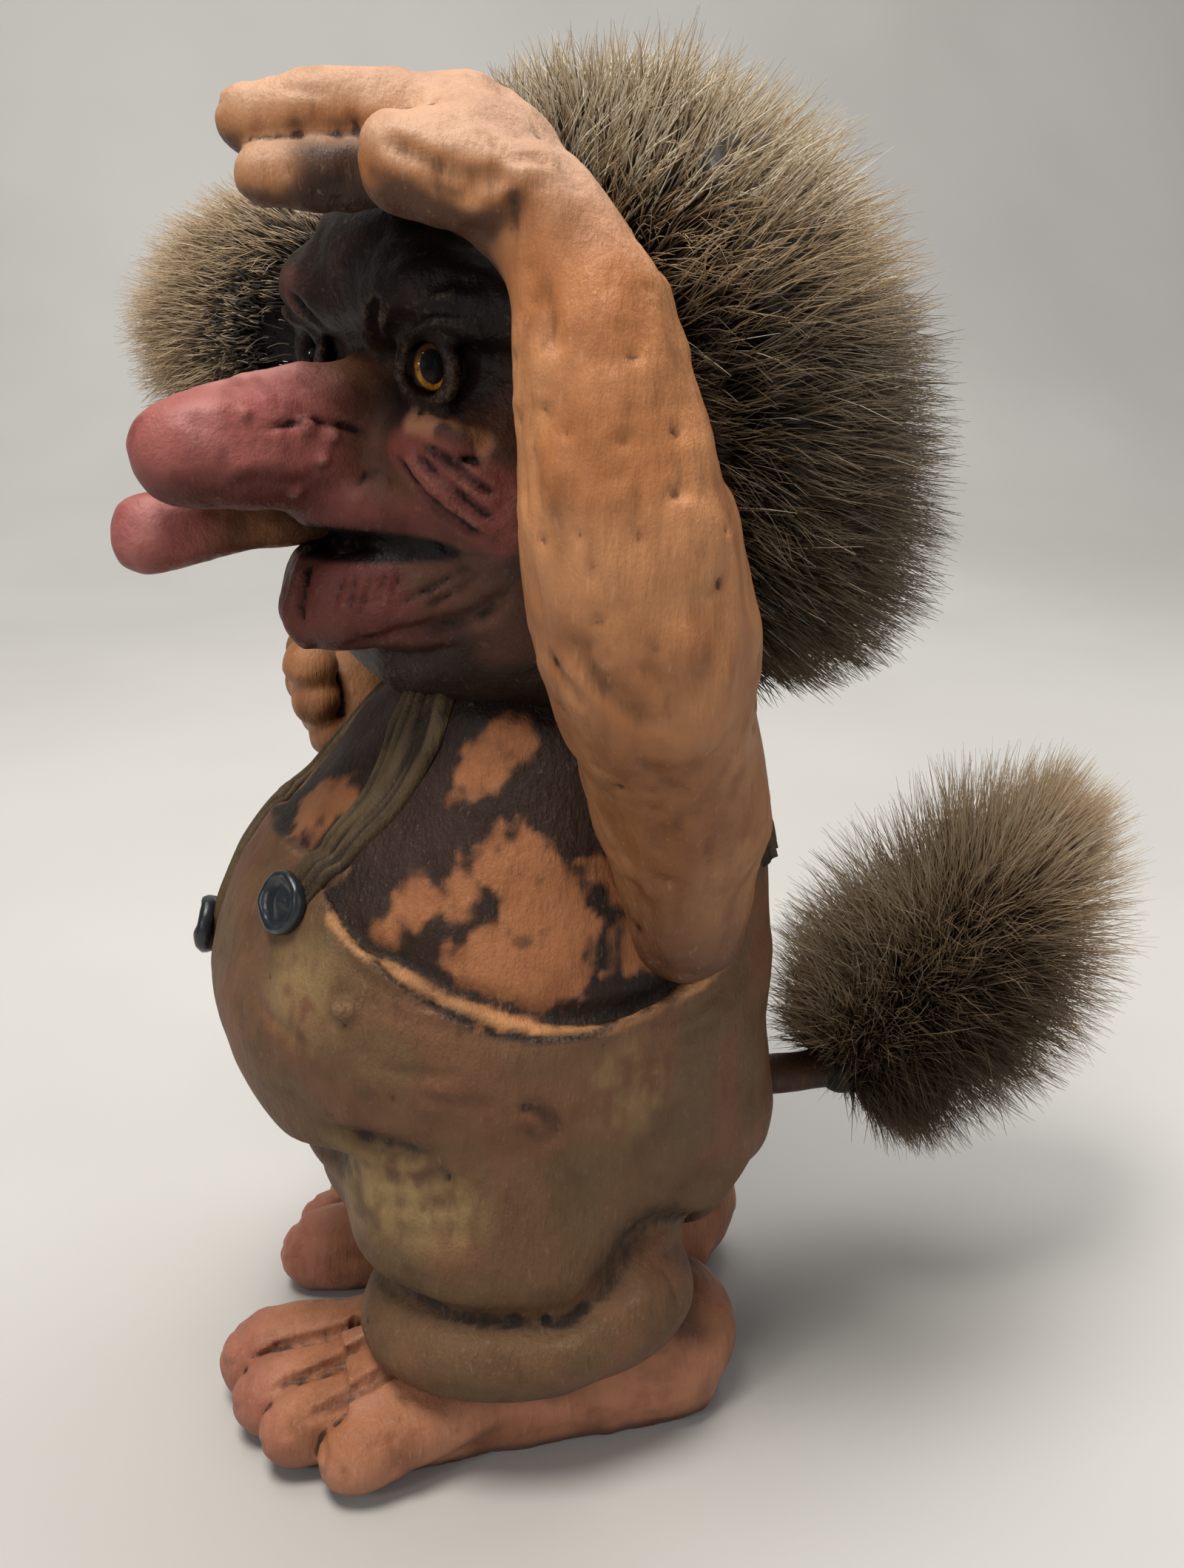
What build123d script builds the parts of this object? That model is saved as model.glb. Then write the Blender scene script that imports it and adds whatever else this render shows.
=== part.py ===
from build123d import *
from math import asin, cos, degrees, radians, sin
import os

os.makedirs("parts", exist_ok=True)

# A troll ornament of cast rubber with glass eyes, a fur wig and a tufted tail.
# Millimetres, +Z up. The troll faces -Y, its own left is +X and its soles stand on z = 0.

# The upright axis of the trunk. The frame's origin lies under the middle of the whole figure.
AXIS_X = 0.67
AXIS_Y = -42.24

# The head turns on an axis of its own, a little behind the trunk's.
HEAD_SETBACK = 12.0
HEAD_TURN = 25.0

# Rubber walls, relief and fits.
TRUNK_WALL = 4.0
HEAD_WALL = 6.0
DUNGAREE_RELIEF = 2.0
TURNING_FIT = 0.06
END_GAP = 0.4

# Dungarees: the arm openings are round cuts from the sides, the bib stands between them.
BIB_TOP = 128.0
BIB_HALF_WIDTH = 31.0
ARMHOLE_RADIUS = 46.0
ARMHOLE_HEIGHT = 145.0
ARMHOLE_SETBACK = 9.0
ARMHOLE_REACH = 60.0

# Straps and buttons.
STRAP_WIDTH = 9.0
STRAP_THICKNESS = 1.8
STRAP_DEPTH = 30.0
BUTTON_RADIUS = 6.3
BUTTON_HEIGHT = 3.4
BUTTON_ROOT = 6.0
BUTTON_ROUND = 1.0

# Legs and feet.
RIGHT_LEG_SETBACK = 14.0
LEFT_HEEL = (29.0, 47.0)
LEFT_FOOT_TURN = 0.0
RIGHT_HEEL = (-19.0, 62.0)
RIGHT_FOOT_TURN = -12.0
FLOOR_CUT = 20.0
FLOOR_CUT_WIDTH = 300.0
ANKLE_PEG_RADIUS = 5.0
ANKLE_PEG_LENGTH = 24.0
ANKLE_PEG_START = 7.0
ANKLE_FROM_HEEL = 40.0
VENT_RADIUS = 1.35
VENT_BOTTOM = 9.0
VENT_TOP = 40.0
VENT_SIDE = -7.5
VENT_FROM_HEEL = 79.0

# Neck and shoulder pegs.
NECK_PEG_RADIUS = 7.0
NECK_PEG_BOTTOM = 138.0
NECK_PEG_TOP = 184.0
SHOULDER_PEG_RADIUS = 3.5
LEFT_SHOULDER_PEG = ((24, 32, 134), (54, 28, 150))
RIGHT_SHOULDER_PEG = ((-24, 32, 126), (-56, 25, 134))

# Eyes, in the head's own frame: out to each side, forward of the axis, and up.
EYE_SIDE = 20.0
EYE_FORWARD = 35.0
EYE_HEIGHT = 220.0
EYE_RADIUS = 4.8
EYE_SPLAY = 16.0
EYE_BACK = 0.8
IRIS_RADIUS = 4.2
IRIS_THICKNESS = 0.8
EYE_WIRE_RADIUS = 0.6
EYE_WIRE_LENGTH = 13.0

# Wig.
BACKING_THICKNESS = 2.0
HAIRLINE_FORWARD = 6.0
HAIRLINE_TURN = 9.0
FLAP_THICKNESS = 1.8
FLAP_OUTLINE = [(20.0, -13.0), (3.5, -12.6), (-11.6, -1.0), (-7.3, 7.1), (20.0, 7.1)]
FLAP_MIDDLE = (-50.5, -22.0, 224.0)
FLAP_TURN = 65.0
NAPE_HEIGHT = 166.0

# Tail.
TAIL_X = -5.0
TAIL_Z = 55.0
TAIL_FACE = 64.4
SOCKET_RADIUS = 6.5
SOCKET_DEPTH = 15.0
TAIL_PEG_RADIUS = 3.0
TAIL_PEG_LENGTH = 13.0
TAIL_STEM_RADIUS = 4.6
TAIL_WIRE_RADIUS = 1.0
TAIL_WRAP_THICKNESS = 2.4

# Level sections: height, side, back, half width, half depth.
TRUNK = [
    (34, 0, 8, 34, 36),
    (44, 0, 12, 45, 46),
    (56, 0, 13, 50, 51),
    (72, 0, 6, 54, 57),
    (92, 0, 3, 56, 60),
    (110, 0, 4, 54, 57),
    (126, 0, 8, 50, 52),
    (140, 0, 14, 45, 46),
    (152, 0, 17, 38, 39),
    (160, 0, 18, 27, 28),
]
LEG = [
    (82, 27, 2, 24, 30),
    (62, 30, -3, 26, 31),
    (48, 32, 1, 26, 33),
    (39, 33, 3, 25, 31.5),
    (28, 34, 3, 26.5, 33),
    (18, 34, 1, 24, 28),
    (13, 34, 0, 19, 22),
]
SKULL = [
    (152, 0, 6, 25, 24),
    (158, 0, 2, 33, 31),
    (168, 0, -1, 40, 38),
    (182, 0, 0, 45, 42),
    (200, 0, 2, 46, 42),
    (218, 0, 3, 45, 40),
    (236, 0, 5, 40, 38),
    (250, 0, 7, 29, 28),
    (257, 0, 8, 13, 12),
]
EAR = [
    (189, 49, 3, 6, 4),
    (196, 52, 2, 9, 5),
    (207, 53, 1, 11, 5.5),
    (217, 52, 1, 9, 5),
    (224, 49, 2, 6, 3.5),
]
WIG = [
    (151, -8, 63, 28, 9),
    (163, -8, 55, 54, 33),
    (186, -9, 47, 67, 46),
    (210, -10, 41, 72, 52),
    (234, -10, 37, 68, 50),
    (255, -8, 34, 52, 40),
    (268, -6, 34, 31, 24),
    (275, -5, 34, 12, 9),
]
FAR_LOCK = [
    (204, -57, -24, 13, 29),
    (214, -60, -19, 21, 41),
    (230, -60, -15, 24, 46),
    (245, -53, -9, 20, 41),
    (256, -44, -2, 12, 27),
]

# A foot in its own frame: distance from the heel, side, half width, height.
FOOT = [
    (0, 0, 7, 10),
    (4, 0, 12, 18),
    (14, 0, 16.5, 27),
    (35, -0.5, 19.5, 32),
    (58, 0, 20, 29),
    (78, 1, 22, 23),
    (90, 1, 21, 18),
]
FOOT_CENTRE = 0.4

# How a limb's end closes: distance past the end and width, as shares of the end's radius.
END_ROUND = [(0.5, 0.87), (0.82, 0.57), (0.97, 0.2)]

# Round limbs: side, back, up, radius at each station along the limb.
TOES = [
    [(-13, -82, 10.5, 11), (-15, -98, 10, 10.2)],
    [(-2, -84, 9, 9), (-2, -97, 8.5, 8.4)],
    [(9, -80, 8.5, 8.6), (10, -92, 8, 8)],
    [(18, -72, 8, 8.2), (20, -82, 7.5, 7.6)],
]
LEFT_ARM = [
    (42, 34, 116, 12),
    (45, 33, 132, 15),
    (52, 29, 148, 16),
    (60, 24, 164, 16.5),
    (64, 19, 180, 17.5),
    (65, 16, 198, 18),
    (63, 13, 216, 15.5),
    (59, 11, 232, 12.5),
    (54, 6, 246, 11.8),
    (46, -4, 254, 12),
]
LEFT_FINGERS = [
    [(42, -5, 259, 8), (36, -39, 259.5, 6.3)],
    [(44, -5, 252, 8), (40, -37.5, 251, 5.8)],
    [(56, 3, 247.5, 9), (52, -17, 253, 7.5)],
    [(34, -2, 254, 8), (24, -31, 252, 6)],
]
RIGHT_ARM = [
    (-42, 34, 116, 12),
    (-47, 32, 128, 14.5),
    (-57, 25, 134, 14.5),
    (-64, 12, 131, 13.8),
    (-61, -2, 129, 13),
    (-53, -13, 134, 13),
    (-45, -21, 141, 13.5),
]
RIGHT_FINGERS = [
    [(-51, -31, 152, 5), (-33, -32, 152, 5.2)],
    [(-51, -31, 144, 5), (-33, -31, 144, 5.2)],
    [(-51, -28, 136, 5), (-34, -28, 136, 5)],
    [(-51, -24, 129, 4.8), (-36, -23, 129, 4.8)],
]
NOSE = [(0, -28, 211, 13.4), (0, -70, 207, 11.3)]
FOREHEAD = [(-10, -28, 239, 16), (10, -28, 239, 16)]
BROW = [(9, -28, 231, 9), (31, -20, 229, 9)]
CHEEK = [(17, -32, 204, 9.5), (32, -20, 192, 11)]
CHIN = [(11, -23, 168, 11.5), (-11, -23, 168, 11.5)]
UPPER_LIP = [(27, -20, 189.5), (0, -45, 192.5), (-27, -20, 189.5)]
UPPER_LIP_RADIUS = 5.6
LOWER_LIP = [(26, -18, 177.5), (0, -49.5, 176.5), (-26, -18, 177.5)]
LOWER_LIP_RADIUS = 7.4
MOUTH_BOTTOM = 182.5
MOUTH_GAPE = 4.4
MOUTH_HALF_WIDTH = 24.0
MOUTH_HALF_DEPTH = 8.5
MOUTH_MIDDLE = -46.0
TONGUE = [(-13, -40, 187.5, 6.6), (-16, -72.5, 190.5, 8)]
TAIL_PATH = [(76, 55, 1.0), (86, 56, 1.0), (98, 64, 0.92), (112, 80, 0.78), (127, 101, 0.62)]
TUFT = [
    (-5, 87, 59, 10),
    (-5, 93, 63, 19),
    (-5, 101, 70, 29),
    (-6, 111, 81, 34),
    (-6, 121, 93, 32),
    (-7, 129, 104, 23),
]

# Strap routes over the chest and shoulders, and where each button sits and points.
LEFT_STRAP = [
    (25.5, -43, 117),
    (30, -34, 126),
    (30, -24, 136),
    (28, -16, 144),
    (26, -6, 150),
    (26, 8, 154),
    (28, 24, 155),
    (28, 40, 149),
    (26, 53, 136),
    (23, 61, 121),
]
RIGHT_STRAP = [
    (-14, -58, 98),
    (-14, -53, 112),
    (-16, -43, 126),
    (-19, -29, 139),
    (-23, -12, 150),
    (-27, 8, 156),
    (-29, 28, 155),
    (-28, 43, 147),
    (-26, 54, 135),
    (-23, 61, 121),
]
CHEST_MIDDLE = (0, 14, 118)
LEFT_BUTTON = (26.5, -40.5, 120)
LEFT_BUTTON_AIM = (0.5, -0.81, 0.3)
RIGHT_BUTTON = (-14, -55.5, 100)
RIGHT_BUTTON_AIM = (-0.25, -0.96, 0.1)

body = Plane(origin=(AXIS_X, AXIS_Y, 0))
face = Plane(
    origin=(AXIS_X, AXIS_Y + HEAD_SETBACK, 0),
    x_dir=(cos(radians(HEAD_TURN)), sin(radians(HEAD_TURN)), 0),
    z_dir=(0, 0, 1),
)


def spot(plane, point):
    """The place in the frame of a point given in a plane's own frame."""
    return plane.from_local_coords(Vector(*point))


def grown(sections, by):
    """Level sections with their outline, bottom and top moved out by a distance."""
    wider = [(z, x, y, rx + by, ry + by) for z, x, y, rx, ry in sections]
    ends = [(wider[0][0] - by, *wider[0][1:]), (wider[-1][0] + by, *wider[-1][1:])]
    return [ends[0], *wider[1:-1], ends[1]]


def mirrored(sections, back=0.0):
    """Level sections on the other side, set back by a distance."""
    return [(z, -x, y + back, rx, ry) for z, x, y, rx, ry in sections]


def stack(plane, sections, mode=Mode.ADD):
    """A body lofted through level ellipses."""
    rings = []
    for z, x, y, rx, ry in sections:
        with BuildSketch(plane.offset(z)) as ring:
            with Locations((x, y)):
                Ellipse(rx, ry)
        rings.append(ring.sketch)
    loft(rings, mode=mode)


def rounded(points, radii):
    """A limb's path and radii carried on past both ends, so that the ends close roundly."""
    head, tail = (points[0] - points[1]).normalized(), (points[-1] - points[-2]).normalized()
    front = [(points[0] + head * (radii[0] * far), radii[0] * share) for far, share in END_ROUND]
    back = [(points[-1] + tail * (radii[-1] * far), radii[-1] * share) for far, share in END_ROUND]
    return [*reversed(front), *zip(points, radii), *back]


def limb(plane, stations, mode=Mode.ADD, round_ends=True):
    """A round limb lofted through circles square to its path."""
    points = [spot(plane, station[:3]) for station in stations]
    radii = [station[3] for station in stations]
    run = rounded(points, radii) if round_ends else list(zip(points, radii))
    rings = []
    for i, (point, radius) in enumerate(run):
        along = run[min(i + 1, len(run) - 1)][0] - run[max(i - 1, 0)][0]
        side = along.cross(Vector(0.31, 0.2, 0.93)).cross(along)
        with BuildSketch(Plane(origin=point, x_dir=side, z_dir=along)) as ring:
            Circle(radius)
        rings.append(ring.sketch)
    loft(rings, mode=mode)


def capsule(plane, start, end, mode=Mode.ADD):
    """A straight tapered limb with ball ends, each end given as side, back, up, radius."""
    low, high = spot(plane, start[:3]), spot(plane, end[:3])
    along = high - low
    lean = degrees(asin((start[3] - end[3]) / along.length))
    with BuildSketch(Plane(origin=low, x_dir=along, z_dir=along.cross(Vector(0.31, 0.2, 0.93)))) as half:
        with BuildLine():
            first = CenterArc((0, 0), start[3], 90 - lean, 90 + lean)
            last = CenterArc((along.length, 0), end[3], 0, 90 - lean)
            Line(last @ 1, first @ 0)
            Line(first @ 1, last @ 0)
        make_face()
    revolve(half.sketch, axis=Axis(low, along), mode=mode)


def lip(plane, points, radius):
    """A round lip bent on an arc through three points."""
    with BuildLine() as route:
        ThreePointArc(*[spot(plane, point) for point in points])
    curve = route.line
    with BuildSketch(Plane(origin=curve @ 0, z_dir=curve % 0)) as ring:
        Circle(radius)
    sweep(ring.sketch, path=curve)


def bar(plane, start, end, radius, mode=Mode.ADD):
    """A round bar between two points."""
    low, high = spot(plane, start), spot(plane, end)
    with BuildSketch(Plane(origin=low, z_dir=high - low)) as disc:
        Circle(radius)
    extrude(disc.sketch, amount=(high - low).length, mode=mode)


def band(plane, route, width, thickness, middle):
    """A flat strip along a route, facing away from a middle point."""
    points = [spot(plane, point) for point in route]
    rings = []
    for i, point in enumerate(points):
        along = points[min(i + 1, len(points) - 1)] - points[max(i - 1, 0)]
        across = along.cross(point - spot(plane, middle))
        with BuildSketch(Plane(origin=point, x_dir=across, z_dir=along)) as ring:
            Rectangle(width, thickness)
        rings.append(ring.sketch)
    loft(rings)


def foot_plane(heel, turn):
    """A foot's own frame: origin under the back of the heel, toes towards -Y."""
    return Plane(
        origin=(AXIS_X + heel[0], AXIS_Y + heel[1], 0),
        x_dir=(cos(radians(turn)), sin(radians(turn)), 0),
        z_dir=(0, 0, 1),
    )


def foot(plane, hand):
    """A bare foot with four toes, flat underneath; hand is 1 for the left and -1 for the right."""
    rings = []
    for back, side, half_width, height in FOOT:
        low = FOOT_CENTRE * height
        heading = Plane(
            origin=spot(plane, (hand * side, -back, low)),
            x_dir=plane.x_dir,
            z_dir=spot(plane, (0, -1, 0)) - plane.origin,
        )
        with BuildSketch(heading) as ring:
            Ellipse(half_width, height - low)
        rings.append(ring.sketch)
    loft(rings)
    for toe in TOES:
        capsule(plane, *[(hand * x, y, z, r) for x, y, z, r in toe])
    with Locations(plane.origin - (0, 0, FLOOR_CUT / 2)):
        Box(FLOOR_CUT_WIDTH, FLOOR_CUT_WIDTH, FLOOR_CUT, mode=Mode.SUBTRACT)


left_sole = foot_plane(LEFT_HEEL, LEFT_FOOT_TURN)
right_sole = foot_plane(RIGHT_HEEL, RIGHT_FOOT_TURN)
eyes = {
    side: Plane(
        origin=spot(face, (side * EYE_SIDE, -EYE_FORWARD, EYE_HEIGHT)),
        x_dir=(0, 0, 1),
        z_dir=spot(face, (side * sin(radians(EYE_SPLAY)), -cos(radians(EYE_SPLAY)), 0)) - face.origin,
    )
    for side in (1, -1)
}
hairline = Plane(
    origin=spot(face, (0, -HAIRLINE_FORWARD, 200)),
    z_dir=spot(face, (sin(radians(HAIRLINE_TURN)), -cos(radians(HAIRLINE_TURN)), 0)) - face.origin,
)

flap = Plane(
    origin=spot(face, FLAP_MIDDLE),
    x_dir=spot(face, (cos(radians(FLAP_TURN)), sin(radians(FLAP_TURN)), 0)) - face.origin,
    z_dir=spot(face, (-sin(radians(FLAP_TURN)), cos(radians(FLAP_TURN)), 0)) - face.origin,
)

# Pegs that hold the castings together.
with BuildPart() as neck_peg:
    bar(face, (0, 4, NECK_PEG_BOTTOM), (0, 4, NECK_PEG_TOP), NECK_PEG_RADIUS)

with BuildPart() as left_shoulder_peg:
    bar(body, *LEFT_SHOULDER_PEG, SHOULDER_PEG_RADIUS)

with BuildPart() as right_shoulder_peg:
    bar(body, *RIGHT_SHOULDER_PEG, SHOULDER_PEG_RADIUS)

ankle_foot = (0, -ANKLE_FROM_HEEL, ANKLE_PEG_START)
ankle_leg = (0, -ANKLE_FROM_HEEL, ANKLE_PEG_START + ANKLE_PEG_LENGTH)
with BuildPart() as left_ankle_peg:
    bar(left_sole, ankle_foot, ankle_leg, ANKLE_PEG_RADIUS)

with BuildPart() as right_ankle_peg:
    bar(right_sole, ankle_foot, ankle_leg, ANKLE_PEG_RADIUS)

# Tail socket: a bush glued into the seat, with its bore on the line that the tail turns about.
socket_face = (TAIL_X, TAIL_FACE, TAIL_Z)
socket_back = (TAIL_X, TAIL_FACE - SOCKET_DEPTH, TAIL_Z)
with BuildPart() as tail_socket:
    bar(body, socket_back, socket_face, SOCKET_RADIUS)
    bar(body, socket_back, socket_face, TAIL_PEG_RADIUS + TURNING_FIT, mode=Mode.SUBTRACT)

# Trunk: flesh with the dungarees raised on it, hollow, with a foam filling.
with BuildPart() as dungarees:
    stack(body, TRUNK)
    split(bisect_by=body.offset(BIB_TOP), keep=Keep.BOTTOM)
    for side in (1, -1):
        bar(
            body,
            (side * BIB_HALF_WIDTH, ARMHOLE_SETBACK, ARMHOLE_HEIGHT),
            (side * (BIB_HALF_WIDTH + ARMHOLE_REACH), ARMHOLE_SETBACK, ARMHOLE_HEIGHT),
            ARMHOLE_RADIUS,
            mode=Mode.SUBTRACT,
        )

with BuildPart() as trunk_mass:
    stack(body, grown(TRUNK, -DUNGAREE_RELIEF))
    add(dungarees.part)

trunk_inside = grown(TRUNK, -DUNGAREE_RELIEF - TRUNK_WALL)
with BuildPart() as trunk:
    add(trunk_mass.part)
    stack(body, trunk_inside, mode=Mode.SUBTRACT)
    for piece in (neck_peg, left_shoulder_peg, right_shoulder_peg):
        add(piece.part, mode=Mode.SUBTRACT)
    bar(body, socket_back, socket_face, SOCKET_RADIUS, mode=Mode.SUBTRACT)

with BuildPart() as trunk_filling:
    stack(body, trunk_inside)
    for piece in (neck_peg, left_shoulder_peg, right_shoulder_peg):
        add(piece.part, mode=Mode.SUBTRACT)
    bar(body, socket_back, socket_face, SOCKET_RADIUS, mode=Mode.SUBTRACT)

# Trouser legs under the trunk, and the bare feet under the legs.
with BuildPart() as left_leg:
    stack(body, LEG)
    for piece in (trunk_mass, left_ankle_peg):
        add(piece.part, mode=Mode.SUBTRACT)

with BuildPart() as right_leg:
    stack(body, mirrored(LEG, RIGHT_LEG_SETBACK))
    for piece in (trunk_mass, right_ankle_peg):
        add(piece.part, mode=Mode.SUBTRACT)

with BuildPart() as left_foot:
    foot(left_sole, 1)
    vent = (VENT_SIDE, -VENT_FROM_HEEL)
    bar(left_sole, (*vent, VENT_BOTTOM), (*vent, VENT_TOP), VENT_RADIUS, mode=Mode.SUBTRACT)
    for piece in (left_leg, left_ankle_peg):
        add(piece.part, mode=Mode.SUBTRACT)

with BuildPart() as right_foot:
    foot(right_sole, -1)
    for piece in (right_leg, right_ankle_peg):
        add(piece.part, mode=Mode.SUBTRACT)

# Head: skull with nose, brows, cheeks, lips and chin, hollow, with a foam filling.
with BuildPart() as skull:
    stack(face, SKULL)

with BuildPart() as lips:
    lip(face, UPPER_LIP, UPPER_LIP_RADIUS)
    lip(face, LOWER_LIP, LOWER_LIP_RADIUS)

with BuildPart() as forehead:
    capsule(face, *FOREHEAD)

with BuildPart() as head_mass:
    add(skull.part)
    add(forehead.part)
    capsule(face, *NOSE)
    for side in (1, -1):
        capsule(face, *[(side * x, y, z, r) for x, y, z, r in BROW])
        capsule(face, *[(side * x, y, z, r) for x, y, z, r in CHEEK])
    capsule(face, *CHIN)
    add(lips.part)
    with BuildSketch(face.offset(MOUTH_BOTTOM)) as gape:
        with Locations((0, MOUTH_MIDDLE)):
            Ellipse(MOUTH_HALF_WIDTH, MOUTH_HALF_DEPTH)
    extrude(amount=MOUTH_GAPE, mode=Mode.SUBTRACT)

with BuildPart() as left_eye:
    with Locations(eyes[1].origin):
        Sphere(EYE_RADIUS)
    split(bisect_by=eyes[1].offset(-EYE_BACK), keep=Keep.TOP)

with BuildPart() as right_eye:
    with Locations(eyes[-1].origin):
        Sphere(EYE_RADIUS)
    split(bisect_by=eyes[-1].offset(-EYE_BACK), keep=Keep.TOP)

iris_front = (0, 0, -EYE_BACK)
iris_back = (0, 0, -EYE_BACK - IRIS_THICKNESS)
wire_end = (0, 0, -EYE_BACK - IRIS_THICKNESS - EYE_WIRE_LENGTH)
with BuildPart() as left_iris:
    bar(eyes[1], iris_back, iris_front, IRIS_RADIUS)

with BuildPart() as right_iris:
    bar(eyes[-1], iris_back, iris_front, IRIS_RADIUS)

with BuildPart() as left_eye_wire:
    bar(eyes[1], wire_end, iris_back, EYE_WIRE_RADIUS)

with BuildPart() as right_eye_wire:
    bar(eyes[-1], wire_end, iris_back, EYE_WIRE_RADIUS)

eye_pieces = (left_eye, right_eye, left_iris, right_iris, left_eye_wire, right_eye_wire)
head_inside = grown(SKULL, -HEAD_WALL)
with BuildPart() as head:
    add(head_mass.part)
    stack(face, head_inside, mode=Mode.SUBTRACT)
    for piece in (trunk_mass, neck_peg, *eye_pieces):
        add(piece.part, mode=Mode.SUBTRACT)

with BuildPart() as head_filling:
    stack(face, head_inside)
    for piece in (trunk_mass, neck_peg, *eye_pieces):
        add(piece.part, mode=Mode.SUBTRACT)

with BuildPart() as tongue:
    capsule(face, *TONGUE)
    for piece in (skull, lips):
        add(piece.part, mode=Mode.SUBTRACT)

# Arms: the left one shades the brow, the right one holds a fist to the chest.
with BuildPart() as left_arm:
    limb(body, LEFT_ARM)
    for finger in LEFT_FINGERS:
        capsule(body, *finger)
    for piece in (trunk_mass, skull, forehead, left_shoulder_peg):
        add(piece.part, mode=Mode.SUBTRACT)

with BuildPart() as right_arm:
    limb(body, RIGHT_ARM)
    for finger in RIGHT_FINGERS:
        capsule(body, *finger)
    for piece in (trunk_mass, skull, right_shoulder_peg):
        add(piece.part, mode=Mode.SUBTRACT)

with BuildPart() as left_ear:
    stack(face, EAR)
    for piece in (skull, left_arm):
        add(piece.part, mode=Mode.SUBTRACT)

with BuildPart() as right_ear:
    stack(face, mirrored(EAR))
    add(skull.part, mode=Mode.SUBTRACT)

# Straps lie on the trunk from the bib's buttons over the shoulders to the back.
with BuildPart() as left_strap:
    band(body, LEFT_STRAP, STRAP_WIDTH, STRAP_DEPTH, CHEST_MIDDLE)
    stack(body, grown(TRUNK, STRAP_THICKNESS), mode=Mode.INTERSECT)
    for piece in (trunk_mass, skull, left_arm):
        add(piece.part, mode=Mode.SUBTRACT)

with BuildPart() as right_strap:
    band(body, RIGHT_STRAP, STRAP_WIDTH, STRAP_DEPTH, CHEST_MIDDLE)
    stack(body, grown(TRUNK, STRAP_THICKNESS), mode=Mode.INTERSECT)
    for piece in (trunk_mass, skull, right_arm):
        add(piece.part, mode=Mode.SUBTRACT)


def button(place, aim):
    """A round button on its strap, pointing along aim."""
    aim = Vector(*aim).normalized()
    low, high = Vector(*place) - aim * BUTTON_ROOT, Vector(*place) + aim * BUTTON_HEIGHT
    bar(body, tuple(low), tuple(high), BUTTON_RADIUS)


with BuildPart() as left_button:
    button(LEFT_BUTTON, LEFT_BUTTON_AIM)
    fillet(left_button.edges().sort_by(Axis((0, 0, 0), LEFT_BUTTON_AIM))[-1], BUTTON_ROUND)
    for piece in (trunk_mass, left_strap):
        add(piece.part, mode=Mode.SUBTRACT)

with BuildPart() as right_button:
    button(RIGHT_BUTTON, RIGHT_BUTTON_AIM)
    fillet(right_button.edges().sort_by(Axis((0, 0, 0), RIGHT_BUTTON_AIM))[-1], BUTTON_ROUND)
    for piece in (trunk_mass, right_strap):
        add(piece.part, mode=Mode.SUBTRACT)

# Wig: a leather cap behind the hairline with a loose flap at the far temple, and the fur on it.
with BuildPart() as wig_backing:
    stack(face, grown(SKULL, BACKING_THICKNESS))
    split(bisect_by=hairline, keep=Keep.BOTTOM)
    split(bisect_by=face.offset(NAPE_HEIGHT), keep=Keep.TOP)
    with BuildSketch(flap) as leaf:
        Polygon(*FLAP_OUTLINE, align=None)
    extrude(amount=FLAP_THICKNESS)
    for piece in (skull, trunk_mass, left_ear, right_ear, left_arm):
        add(piece.part, mode=Mode.SUBTRACT)

with BuildPart() as wig_fur:
    stack(body, WIG)
    split(bisect_by=hairline, keep=Keep.BOTTOM)
    stack(body, FAR_LOCK)
    for piece in (skull, trunk_mass, wig_backing, left_ear, right_ear):
        add(piece.part, mode=Mode.SUBTRACT)
    for piece in (left_arm, right_arm, left_strap, right_strap):
        add(piece.part, mode=Mode.SUBTRACT)

# Tail: a stem with its peg in the socket, a wire core, a leather wrap and the fur tuft.
tail_root = (TAIL_X, TAIL_FACE + END_GAP, TAIL_Z)
tail_run = [(TAIL_X, y, z, share * TAIL_STEM_RADIUS) for y, z, share in TAIL_PATH]
with BuildPart() as tail_wire:
    limb(body, [(x, y, z, TAIL_WIRE_RADIUS) for x, y, z, r in tail_run], round_ends=False)

with BuildPart() as tail_stem:
    limb(body, [(*tail_root, TAIL_STEM_RADIUS), *tail_run], round_ends=False)
    bar(body, (TAIL_X, TAIL_FACE - TAIL_PEG_LENGTH, TAIL_Z), tail_root, TAIL_PEG_RADIUS)
    add(tail_wire.part, mode=Mode.SUBTRACT)

with BuildPart() as tail_wrap:
    limb(body, [(x, y, z, r + TAIL_WRAP_THICKNESS) for x, y, z, r in tail_run[1:]])
    for piece in (tail_stem, tail_wire):
        add(piece.part, mode=Mode.SUBTRACT)

with BuildPart() as tail_tuft:
    limb(body, TUFT)
    for piece in (tail_stem, tail_wire, tail_wrap):
        add(piece.part, mode=Mode.SUBTRACT)

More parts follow.
